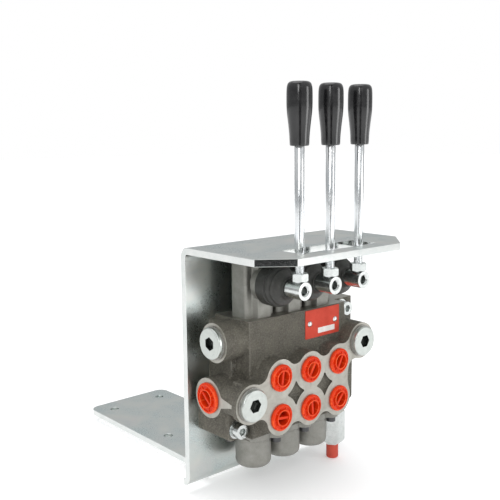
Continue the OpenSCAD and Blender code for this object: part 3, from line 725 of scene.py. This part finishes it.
def star_outline(x):
    """Four-pointed pocket between four port bosses, each with a ridge of this radius round it."""
    ridge = 18.75
    half_x, half_z = PITCH / 2, (PORT_Z[1] - PORT_Z[0]) / 2
    mid = (PORT_Z[0] + PORT_Z[1]) / 2
    reach_x = half_x - math.sqrt(ridge ** 2 - half_z ** 2)
    reach_z = half_z - math.sqrt(ridge ** 2 - half_x ** 2)
    points = []
    right, up, left, down = (reach_x, 0), (0, reach_z), (-reach_x, 0), (0, -reach_z)
    for cx, cz, first, last in ((half_x, half_z, right, up), (-half_x, half_z, up, left),
                                (-half_x, -half_z, left, down), (half_x, -half_z, down, right)):
        a0 = math.atan2(first[1] - cz, first[0] - cx)
        a1 = math.atan2(last[1] - cz, last[0] - cx)
        sweep = (a1 - a0 + math.pi) % (2 * math.pi) - math.pi
        for k in range(8):
            angle = a0 + sweep * k / 8
            points.append((x + cx + ridge * math.cos(angle), mid + cz + ridge * math.sin(angle)))
    return points


def cast_block():
    """The rough casting, grown a little past each machined face."""
    top, bottom = BLOCK_TOP + GROW, BLOCK_BOTTOM - GROW
    block = prism("valve_block", [(-58, top), (60, top), (60, BLOCK_TOP), (63, 128), (72, 118), (72, 57.5),
                                  (63, 50), (63, bottom), (-58, bottom)], BLOCK_FRONT, GROW, "y")
    # The low lug tapers towards the front, and steps up beside the first spring cap
    low_lug = prism("lug", [(-79, 53), (-79, 76), (-75, 80), (-46, 80), (-46, BLOCK_BOTTOM),
                            (LUG_STEP, BLOCK_BOTTOM), (LUG_STEP, 46), (-68, 46)],
                    LUG_FRONT - LUG_STOCK, GROW, "y")
    taper = [(-79.5, 4), (-79.5, -6), (-70.5, LUG_FRONT - 3), (-40, LUG_FRONT - 3), (-40, 4)]
    boolean(low_lug, prism("taper", taper, 40, 85, "z"), "INTERSECT")
    face_slab = prism("web", port_outline(), PORT_FACE - GROW, BLOCK_FRONT + 4, "y")
    # Behind its rim the left front plug's boss is narrower, clear of the inlet face
    boolean(face_slab, prism("relief", [(-90, 60), (-PITCH * 2 - 2, 60), (-PITCH * 2 - 2, 120), (-90, 120)],
                             PLUG_RIM_BACK, BLOCK_FRONT + 6, "y"), "DIFFERENCE")
    fin = [(-16, 95), (-36, 91.5), (-54, 86.4), (-36, 81.2), (-16, 78)]
    solids = [
        face_slab,
        rod(*PLUG_LEFT, PLUG_NECK, PLUG_RIM_BACK - 2, -26, "y"),
        rod(*PLUG_RIGHT, PLUG_BOSS, PORT_FACE - GROW, -38, "y"),
        low_lug,
        prism("lug", rounded_outline(52, 126, 85, top, 3), LUG_FRONT - LUG_STOCK, GROW, "y"),
        prism("flank", rounded_outline(-66, 84, -50, 149, 4), LUG_FRONT, GROW, "y"),
        rod(*SIDE_PLUG, PLUG_BOSS, SIDE_PLUG_FACE - GROW, -50, "x"),
        rod(*INLET, INLET_BOSS, INLET_FACE - GROW, -46, "x"),
        prism("fin", fin, INLET_FACE - GROW, -50, "x"),
        rod(*OUTLET, OUTLET_BOSS, 60, OUTLET_FACE + GROW, "x"),
        rod(*RELIEF, RELIEF_BOSS, bottom, 66, "z"),
    ]
    for solid in solids:
        boolean(block, solid, "UNION")
    for x in (-PITCH / 2, PITCH / 2):
        pocket = prism("pocket", star_outline(x), PORT_FACE - GROW - 1, PORT_FACE + 3.2, "y")
        boolean(block, pocket, "DIFFERENCE")
    for place in (BOLT_HIGH, BOLT_LOW):
        boolean(block, rod(*place, 7, BLOCK_FRONT - 6, LUG_FRONT - LUG_STOCK, "y"), "DIFFERENCE")
    return block


def weathered(obj, voxel, rounds, lumps):
    """Voxel remesh, smoothed into cast fillets, with a slight cast unevenness (sizes in mm)."""
    remesh = obj.modifiers.new("remesh", "REMESH")
    remesh.mode = "VOXEL"
    remesh.voxel_size = voxel * MM
    smooth = obj.modifiers.new("smooth", "SMOOTH")
    smooth.factor = 0.5
    smooth.iterations = rounds
    texture = bpy.data.textures.new("lumps", "CLOUDS")
    texture.noise_scale = lumps[0] * MM
    displace = obj.modifiers.new("lumps", "DISPLACE")
    displace.texture = texture
    displace.texture_coords = "LOCAL"
    displace.strength = lumps[1] * MM
    displace.mid_level = 0.5
    return apply_modifiers(obj)


def box_cutter(x0, x1, y0, y1, z0, z1):
    return prism("cutter", [(x0, z0), (x1, z0), (x1, z1), (x0, z1)], y0, y1, "y")


def tag_machined(obj, planes):
    """Gives the machined material to the flat faces that lie on the given planes (axis, value in mm)."""
    for face in obj.data.polygons:
        for axis, value in planes:
            at = (face.center[axis] - ORIGIN[axis]) / MM
            if abs(at - value) < 0.02 and abs(face.normal[axis]) > 0.995:
                face.material_index = 1
                face.use_smooth = False


def valve_block():
    block = weathered(cast_block(), VOXEL, 9, (3.2, 0.16))
    far = 130
    cutters = [
        box_cutter(-far, far, PORT_FACE - 9, PORT_FACE, 20, 180),
        box_cutter(-far, far, 0, 9, 20, 180),
        box_cutter(-far, far, -90, 30, BLOCK_TOP, BLOCK_TOP + 9),
        box_cutter(LUG_STEP, far, -90, 30, BLOCK_BOTTOM - 9, BLOCK_BOTTOM),
        box_cutter(-far, SIDE_PLUG_FACE, -50, 10, 114, 156),
        box_cutter(-far, INLET_FACE, PLUG_RIM_BACK, 10, 60, 110),
        box_cutter(OUTLET_FACE, far, -50, 10, 80, 120),
        rod(*BOLT_HIGH, SPOT_HIGH, BLOCK_FRONT - 9, LUG_FRONT, "y"),
        rod(*BOLT_LOW, SPOT_LOW, BLOCK_FRONT - 9, LUG_FRONT, "y"),
        rod(*BOLT_HIGH, BOLT_HOLE, LUG_FRONT - 2, 2, "y", 32),
        rod(*BOLT_LOW, BOLT_HOLE, LUG_FRONT - 2, 2, "y", 32),
        rod(*PLUG_LEFT, PLUG_BORE, PORT_FACE - 2, -46, "y"),
        rod(*PLUG_LEFT, CHECK_BORE, -47, -31, "y", 48),
        rod(*PLUG_RIGHT, PLUG_BORE, PORT_FACE - 2, -46, "y"),
        rod(*SIDE_PLUG, PLUG_BORE, SIDE_PLUG_FACE - 2, -64, "x"),
        rod(*INLET, MAIN_BORE, INLET_FACE - 2, -64, "x"),
        rod(*OUTLET, MAIN_BORE, 62, OUTLET_FACE + 2, "x"),
        rod(*RELIEF, RELIEF_BORE, BLOCK_BOTTOM - 2, 66, "z"),
    ]
    for x in SPOOL_X.values():
        cutters.append(rod(x, SPOOL_Y, SPOOL_BORE, BLOCK_BOTTOM - 2, BLOCK_TOP + 2, "z"))
        cutters += [rod(x, z, PORT_BORE, PORT_FACE - 2, -46, "y") for z in PORT_Z]
    for cutter in cutters:
        boolean(block, cutter, "DIFFERENCE")
    soften(block, 42)
    tag_machined(block, [(1, PORT_FACE), (1, 0), (2, BLOCK_TOP), (2, BLOCK_BOTTOM), (0, SIDE_PLUG_FACE),
                         (0, INLET_FACE), (0, OUTLET_FACE), (1, LUG_FRONT)])
    finish_piece(block, "root", [LOOK["cast_iron"], LOOK["machined_iron"]], "valve_body")


# ---- lever housings, boots and levers ----

DIE_CASTING = [LOOK["die_cast"], LOOK["machined_aluminium"]]
HOUSING_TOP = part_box("lever_housing_2")[1].z / MM
HOUSING_BACK, HOUSING_MID, HOUSING_FRONT = -14.5, -34, -40
COLLAR_FRONT = (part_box("lever_housing_2")[0].y - ORIGIN.y) / MM


def lever_housing(i):
    x = SPOOL_X[i]
    low, high = BLOCK_TOP - 1.5, HOUSING_TOP + 1.5
    half_width, nose_root, nose_tip = 16.5, 9.5, 7.3
    outline = rounded_outline(x - half_width, HOUSING_MID, x + half_width, HOUSING_BACK, 2.5)
    shell = prism(f"housing_casting_{i}", outline, low, high, "z")
    nose = [(x - nose_root, HOUSING_MID + 5), (x - nose_root, HOUSING_MID), (x - nose_tip, HOUSING_FRONT),
            (x + nose_tip, HOUSING_FRONT), (x + nose_root, HOUSING_MID), (x + nose_root, HOUSING_MID + 5)]
    boolean(shell, prism("nose", nose, low, high, "z"), "UNION")
    boolean(shell, rod(x, HUB_Z, 14.5, COLLAR_FRONT - 1.2, HOUSING_FRONT + 3, "y"), "UNION")
    # Parting line round the casting
    side = half_width + 0.25
    flash = rounded_outline(x - side, HOUSING_MID - 0.25, x + side, HOUSING_BACK + 0.25, 2.6)
    boolean(shell, prism("flash", flash, HUB_Z - 2.3, HUB_Z - 1.5, "z"), "UNION")
    weathered(shell, 0.5, 4, (2.0, 0.06))
    cutters = [
        box_cutter(x - 30, x + 30, -70, 10, BLOCK_TOP - 6, BLOCK_TOP),
        box_cutter(x - 30, x + 30, -70, 10, HOUSING_TOP, HOUSING_TOP + 6),
        box_cutter(x - 30, x + 30, COLLAR_FRONT - 6, COLLAR_FRONT, 150, 205),
        rod(x, HUB_Z, 10, COLLAR_FRONT - 1, -38.6, "y"),
        rod(x, HUB_Z, 6.9, -39.6, -18, "y"),
        rod(x, SPOOL_Y, 8.6, BLOCK_TOP - 1, 166, "z"),
        rod(x, SPOOL_Y, 6.6, BLOCK_TOP - 1, HOUSING_TOP - 3, "z"),
    ]
    for cutter in cutters:
        boolean(shell, cutter, "DIFFERENCE")
    soften(shell, 42)
    tag_machined(shell, [(2, HOUSING_TOP), (2, BLOCK_TOP), (1, COLLAR_FRONT)])
    finish_piece(shell, "root", DIE_CASTING, f"lever_housing_{i}")


# Radius against distance in front of the housing's front boss, in mm: the bellows' outside and inside
BOOT_OUTSIDE = [
    (16.6, 6.3), (17.2, 6.6), (17.45, 7.6), (17.45, 11.5), (17.5, 15.2), (17.1, 16.4), (16.3, 17.1),
    (16.9, 17.9), (17.35, 18.9), (17.2, 20.2), (16.2, 21.6), (15.3, 22.3), (15.5, 22.9), (15.6, 23.5),
    (14.9, 24.8), (12.9, 26.0), (10.8, 27.2), (9.6, 28.3), (9.05, 29.4), (8.9, 30.6)]
BOOT_INSIDE = [
    (7.65, 30.8), (7.65, 29.0), (8.4, 27.3), (10.4, 26.0), (12.6, 24.9), (14.1, 23.4), (13.9, 22.0),
    (15.0, 20.6), (15.7, 19.2), (15.0, 17.6), (14.65, 16.2), (14.6, 11.0), (14.6, 6.3)]


def boot(i):
    profile = smooth_curve(BOOT_OUTSIDE, 4) + [(8.7, 30.95), (7.9, 31.0)] + smooth_curve(BOOT_INSIDE, 3)
    base = row(SPOOL_X[i], HOUSING_FRONT, HUB_Z)
    obj = soften(lathe(f"boot_bellows_{i}", profile, 96, base, "-y"), 50)
    obj.data.materials.append(LOOK["boot_rubber"])
    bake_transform(obj, "root", f"lever_{i}", start=row(SPOOL_X[i], HOUSING_FRONT - 14, HUB_Z),
             end=row(SPOOL_X[i], HOUSING_FRONT - 27, HUB_Z))
    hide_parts(f"boot_{i}")


def threaded_rod(i):
    """Bar with a rolled M8 thread at its foot, and its top chamfered."""
    lo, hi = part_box(f"lever_rod_{i}")
    radius = (hi.x - lo.x) / 2 / MM
    foot, top = lo.z / MM, hi.z / MM
    pitch, depth, thread_top, around = 1.25, 0.55, 208.5, 36
    chamfer = 1
    heights = list(np.arange(foot, thread_top, pitch / 8))
    heights += [thread_top, thread_top + 0.8, thread_top + 30, top - chamfer, top]
    middle_y = ((lo.y + hi.y) / 2 - ORIGIN.y) / MM
    verts, faces = [], []
    for z in heights:
        centre = row(SPOOL_X[i], middle_y, z)
        for k in range(around):
            turn = k / around
            r = radius
            if z <= thread_top:
                phase = ((z - foot) / pitch - turn) % 1.0
                r = radius - 0.06 - depth * (1 - min(1.0, abs(phase - 0.5) / 0.38))
                if z < foot + pitch:
                    r = min(r, radius - depth)
            if z >= top:
                r = radius - chamfer
            angle = 2 * math.pi * turn
            verts.append(centre + Vector((math.cos(angle), math.sin(angle), 0)) * r * MM)
    rows = len(heights)
    for j in range(rows - 1):
        for k in range(around):
            a, b = j * around + k, j * around + (k + 1) % around
            faces.append([a, b, b + around, a + around])
    faces.append(list(range(around))[::-1])
    faces.append([(rows - 1) * around + k for k in range(around)])
    obj = soften(mesh_object(f"rod_bar_{i}", verts, faces), 50)
    outward(obj)
    finish_piece(obj, f"lever_{i}", [LOOK["plated_rod"]], f"lever_rod_{i}")


def knob(i):
    """Moulded grip that swells towards its rounded top, hollow for the rod."""
    lo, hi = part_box(f"knob_{i}")
    r, length = (hi.x - lo.x) / 2 / MM, (hi.z - lo.z) / MM
    bore, bore_depth = 4.03, 26.0
    outer = [(7.0, 0.0), (7.45, 0.35), (7.7, 1.2), (8.0, length * 0.16), (8.75, length * 0.32),
             (r - 0.45, length * 0.50), (r - 0.05, length * 0.62), (r, length * 0.76),
             (r - 0.15, length * 0.88), (r - 0.7, length * 0.945), (r - 1.8, length * 0.98),
             (r - 3.6, length * 0.997), (4.0, length)]
    inner = [(0.0, length), (0.0, bore_depth), (bore, bore_depth), (bore, 0.6), (4.5, 0.0)]
    profile = smooth_curve(outer, 5) + inner
    centre = Vector(((lo.x + hi.x) / 2, (lo.y + hi.y) / 2, lo.z))
    obj = soften(lathe(f"knob_grip_{i}", profile, 96, centre, "+z"), 50)
    finish_piece(obj, f"lever_{i}", [LOOK["knob_plastic"]], f"knob_{i}")


def lever(i):
    body = f"lever_{i}"
    hub = to_local(bevelled(welded_copy(f"lever_hub_{i}", f"hub_barrel_{i}"), 0.35, 2, 30), (0, -1, 0))
    finish_piece(hub, body, [LOOK["hub_steel"]], f"lever_hub_{i}")
    refined(f"lock_nut_{i}", body, "zinc_fastener", 0.25)
    threaded_rod(i)
    knob(i)


# ---- spring caps, plugs and small pieces ----

def spring_cap(i):
    """Cast cup under the block, whose flange has an ear for a screw at each end of a diagonal."""
    x = SPOOL_X[i]
    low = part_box(f"spring_cap_{i}")[0].z / MM
    reach, ear, screw_x, screw_y = 20.4, 6.5, 14.7, 14.2
    flange, top = BLOCK_BOTTOM - 8, BLOCK_BOTTOM + 1.5
    cos, sin = math.cos(math.radians(-44)), math.sin(math.radians(-44))

    def turned_point(u, v):
        return x + u * cos - v * sin, SPOOL_Y + u * sin + v * cos

    profile = [(0, low), (11.5, low), (13.6, low + 0.5), (15.2, low + 2.0), (16, low + 4.5),
               (16, top), (0, top)]
    cap = lathe(f"cap_casting_{i}", profile, 96, row(x, SPOOL_Y, 0), "+z")
    boolean(cap, rod(x, SPOOL_Y, 17, flange, top, "z"), "UNION")
    bar = [turned_point(u, v) for u, v in ((-reach, -ear), (reach, -ear), (reach, ear), (-reach, ear))]
    boolean(cap, prism("ear", bar, flange, top, "z"), "UNION")
    for side in (-1, 1):
        boolean(cap, rod(*turned_point(side * reach, 0), ear, flange, top, "z"), "UNION")
    weathered(cap, 0.5, 4, (2.0, 0.06))
    cutters = [box_cutter(x - 40, x + 40, -80, 40, BLOCK_BOTTOM, BLOCK_BOTTOM + 6),
               rod(x, SPOOL_Y, 11.5, low + 2, BLOCK_BOTTOM + 1, "z")]
    cutters += [rod(x + side * screw_x, SPOOL_Y - side * screw_y, 2.6, low, BLOCK_BOTTOM + 2, "z", 32)
                for side in (-1, 1)]
    for cutter in cutters:
        boolean(cap, cutter, "DIFFERENCE")
    soften(cap, 42)
    tag_machined(cap, [(2, BLOCK_BOTTOM)])
    finish_piece(cap, "root", DIE_CASTING, f"spring_cap_{i}")


SHEET = 6  # the bracket's thickness
SOCKET_REACH = 6.2  # the plugs' hexagon sockets lie within this radius


def plugs_and_washers():
    """Each screw plug and washer is its own piece, so its turning marks run round its own axis."""
    for node, slot, material, width in (("blanking_plugs", "zinc_fastener", LOOK["plug_steel"], 0.3),
                                        ("plug_washers", "washer_steel", LOOK["washer_steel"], 0.2)):
        parts = loose_parts(bevelled(welded_copy(node, node), width))
        for number, (part, axis) in enumerate(zip(parts, ((-1, 0, 0), (0, -1, 0), (0, -1, 0))), 1):
            part.name = f"{node[:-1]}_{number}"
            keep_flat(soften(to_local(part, axis), 40))
            for face in part.data.polygons:
                reach = max(part.data.vertices[v].co.xy.length for v in face.vertices)
                if node == "blanking_plugs" and reach < SOCKET_REACH * MM:
                    face.material_index = 1
            finish_piece(part, "root", [material, LOOK["socket_steel"]], node if number == 1 else None)


def port_caps():
    for node in ("upper_port_caps", "lower_port_caps", "inlet_port_cap", "outlet_port_cap"):
        refined(node, "root", "cap_plastic", 0.22, 25)


def bracket():
    """Bent sheet, whose sawn edges are brighter: the flange's rim and slot, and the plate's sides."""
    obj = bevelled(welded_copy("bracket", "bracket_sheet"), 0.45, 3, 28)
    flange_underside = bracket_hi.z - SHEET * MM
    for face in obj.data.polygons:
        in_flange = face.center.z > flange_underside + 0.3 * MM and face.center.y < ORIGIN.y - 4 * MM
        if abs(face.normal.z) < 0.3 and (in_flange or abs(face.normal.x) > 0.7):
            face.material_index = 1
    finish_piece(obj, "root", [LOOK["zinc_sheet"], LOOK["zinc_edge"]], "bracket")


def nameplate():
    refined("nameplate", "root", "plate_red", 0.12)
    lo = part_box("nameplate")[0]
    left, bottom = (lo.x - ORIGIN.x) / MM, lo.z / MM
    front = (lo.y - ORIGIN.y) / MM
    field = rounded_outline(left + 16, bottom + 3.2, left + 38, bottom + 8.2, 0.3, 3)
    label = prism("nameplate_blank_box", field, front - 0.05, front + 0.2, "y")
    finish_piece(bevelled(label, 0.02, 1), "root", [LOOK["plate_white"]])


def simple_nodes():
    """Pieces whose CAD shape only needs its edges broken."""
    for i in LEVERS:
        for node, slot in (("spool", "ground_steel"), ("end_screw", "black_steel"),
                           ("spring_seats", "turned_steel")):
            refined(f"{node}_{i}", f"spool_set_{i}", slot, 0.2)
        frame["nodes"][f"centring_spring_{i}"].data.materials[0] = LOOK["spring_steel"]
    for node, slot, width in (
            ("pivot_pins", "ground_steel", 0.3),
            ("housing_screws", "black_steel", 0.25),
            ("cap_screws", "black_steel", 0.3),
            ("check_poppet", "turned_steel", 0.2),
            ("relief_poppet", "turned_steel", 0.2),
            ("relief_body", "zinc_fastener", 0.3),
            ("relief_adjuster", "turned_steel", 0.2),
            ("relief_lock_nut", "zinc_fastener", 0.2),
            ("relief_cap", "relief_cap_plastic", 0.4),
            ("nameplate_rivets", "rivet_aluminium", 0.1),
            ("mounting_bolts", "zinc_fastener", 0.35),
            ("mounting_washers", "zinc_fastener", 0.2),
            ("mounting_nuts", "zinc_fastener", 0.3)):
        refined(node, node + "_body" if node.endswith("poppet") else "root", slot, width)
    frame["nodes"]["spool_seals"].data.materials[0] = LOOK["seal_rubber"]


def valve_spring(name, axis):
    """A poppet's spring. Its high end on the axis, 1 for Y or 2 for Z, rides the poppet."""
    spring = soften(welded_copy(f"{name}_spring", f"{name}_coil"), 50)
    spring.data.materials.append(LOOK["spring_steel"])
    lo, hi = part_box(f"{name}_spring")
    middle = (lo + hi) / 2
    moving, fixed = middle.copy(), middle.copy()
    moving[axis], fixed[axis] = hi[axis], lo[axis]
    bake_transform(spring, f"{name}_poppet_body", "root", start=moving, end=fixed)
    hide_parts(f"{name}_spring")


# ---- camera, lights and floor ----

CAMERA_YAW = math.radians(41.21)


def camera():
    """A 55 mm lens above the block's height, turned towards it from its front left."""
    yaw, pitch, roll = CAMERA_YAW, math.radians(8.64), math.radians(-0.52)
    forward = Vector((math.sin(yaw) * math.cos(pitch), math.cos(yaw) * math.cos(pitch), -math.sin(pitch)))
    right = Vector((math.cos(yaw), -math.sin(yaw), 0))
    up = right.cross(forward)
    tilted_right = right * math.cos(roll) + up * math.sin(roll)
    tilted_up = tilted_right.cross(forward)
    data = bpy.data.cameras.new("camera")
    data.lens = 54.98
    data.sensor_width = 36
    data.clip_start = 0.01
    data.clip_end = 60
    obj = link(bpy.data.objects.new("camera", data))
    turn = Matrix((tilted_right, tilted_up, -forward)).transposed().to_4x4()
    obj.matrix_world = Matrix.Translation(row(-466, -512.5, 307.6)) @ turn
    bpy.context.scene.camera = obj


def softbox(name, place, target, width, height, power):
    data = bpy.data.lights.new(name, "AREA")
    data.shape = "RECTANGLE"
    data.size, data.size_y = width, height
    data.energy = power
    obj = link(bpy.data.objects.new(name, data))
    obj.location = place
    obj.rotation_euler = (Vector(target) - Vector(place)).to_track_quat("-Z", "Y").to_euler()


def light_room(tree):
    """A pale room that is brightest overhead, white where it is the backdrop."""
    coords = tree.nodes.new("ShaderNodeTexCoord")
    split = tree.nodes.new("ShaderNodeSeparateXYZ")
    tree.links.new(coords.outputs["Generated"], split.inputs[0])
    height = tree.nodes.new("ShaderNodeMapRange")
    for socket, value in (("From Min", 0.0), ("From Max", 0.9), ("To Min", 0.42), ("To Max", 0.95)):
        height.inputs[socket].default_value = value
    tree.links.new(split.outputs["Z"], height.inputs["Value"])
    room = tree.nodes["Background"]
    room.inputs["Color"].default_value = (0.98, 0.99, 1.0, 1)
    tree.links.new(height.outputs["Result"], room.inputs["Strength"])
    backdrop = tree.nodes.new("ShaderNodeBackground")
    backdrop.inputs["Color"].default_value = (1, 1, 1, 1)
    backdrop.inputs["Strength"].default_value = 1.0
    path = tree.nodes.new("ShaderNodeLightPath")
    mix = tree.nodes.new("ShaderNodeMixShader")
    tree.links.new(path.outputs["Is Camera Ray"], mix.inputs["Fac"])
    tree.links.new(room.outputs[0], mix.inputs[1])
    tree.links.new(backdrop.outputs[0], mix.inputs[2])
    tree.links.new(mix.outputs[0], tree.nodes["World Output"].inputs["Surface"])


def dark_side():
    """The dark end of the studio, behind the camera; bright metal mirrors it."""
    half_width, bottom, top = 0.13, 0.02, 1.3
    across = Vector((math.cos(CAMERA_YAW), -math.sin(CAMERA_YAW), 0))
    stand = row(-520, -575, 0) + across * 0.06
    across *= half_width
    corners = [stand + side * across + Vector((0, 0, height))
               for side, height in ((-1, bottom), (1, bottom), (1, top), (-1, top))]
    cloth = mesh_object("dark_cloth", corners, [[0, 1, 2, 3]])
    p = Paint("dark_cloth", (0.012, 0.012, 0.013), 0.9)
    cloud = p.ramp(p.noise(90, 3), 0.3, 0.7)
    p.color(p.mix(cloud, (0.01, 0.01, 0.011), (0.02, 0.02, 0.021)))
    cloth.data.materials.append(p.material)
    cloth.visible_camera = False
    cloth.visible_shadow = False


def studio():
    world = bpy.data.worlds.new("studio")
    bpy.context.scene.world = world
    world.use_nodes = True
    light_room(world.node_tree)
    middle = (0.0, -0.17, 0.14)
    softbox("key", (-0.95, -1.15, 0.80), middle, 0.7, 0.7, 9)
    softbox("front_fill", (0.75, -1.5, 0.30), middle, 0.5, 0.9, 5)
    overhead = bpy.data.lights.new("overhead", "SUN")
    overhead.energy = 1.0
    overhead.angle = math.radians(55)
    link(bpy.data.objects.new("overhead", overhead)).rotation_euler = (math.radians(-8), math.radians(-6), 0)
    p = Paint("floor_paper", (0.86, 0.86, 0.86), 0.75)
    p.color(p.mix(p.ramp(p.noise(260, 3), 0.3, 0.7), (0.85, 0.85, 0.85), (0.88, 0.88, 0.88)))
    p.shader.inputs["Emission Color"].default_value = (1, 1, 1, 1)
    p.shader.inputs["Emission Strength"].default_value = 0.22
    floor_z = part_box("relief_cap")[0].z - 0.0002
    edge = 9.0
    corners = [(-edge, -edge, floor_z), (edge, -edge, floor_z), (edge, edge, floor_z), (-edge, edge, floor_z)]
    floor = mesh_object("floor", corners, [[0, 1, 2, 3]])
    floor.data.materials.append(p.material)
    # A thin pale plinth carries the foot, because the relief valve's cap hangs lower than it
    foot_x, half_width, inset = -13.5, 49, 6
    outline = rounded_outline(foot_x - half_width + inset, 16, foot_x + half_width - inset,
                              (bracket_hi.y - ORIGIN.y) / MM - inset, 4)
    plinth = prism("plinth", outline, floor_z / MM, bracket_lo.z / MM - 0.02, "z")
    plinth.data.materials.append(p.material)
    dark_side()
    scene = bpy.context.scene
    scene.view_settings.view_transform = "Standard"
    scene.view_settings.look = "None"
    scene.view_settings.exposure = 0.0


camera()
studio()
bracket()
valve_block()
for number in LEVERS:
    lever_housing(number)
    boot(number)
    lever(number)
    spring_cap(number)
plugs_and_washers()
port_caps()
nameplate()
simple_nodes()
valve_spring("relief", 2)
valve_spring("check", 1)
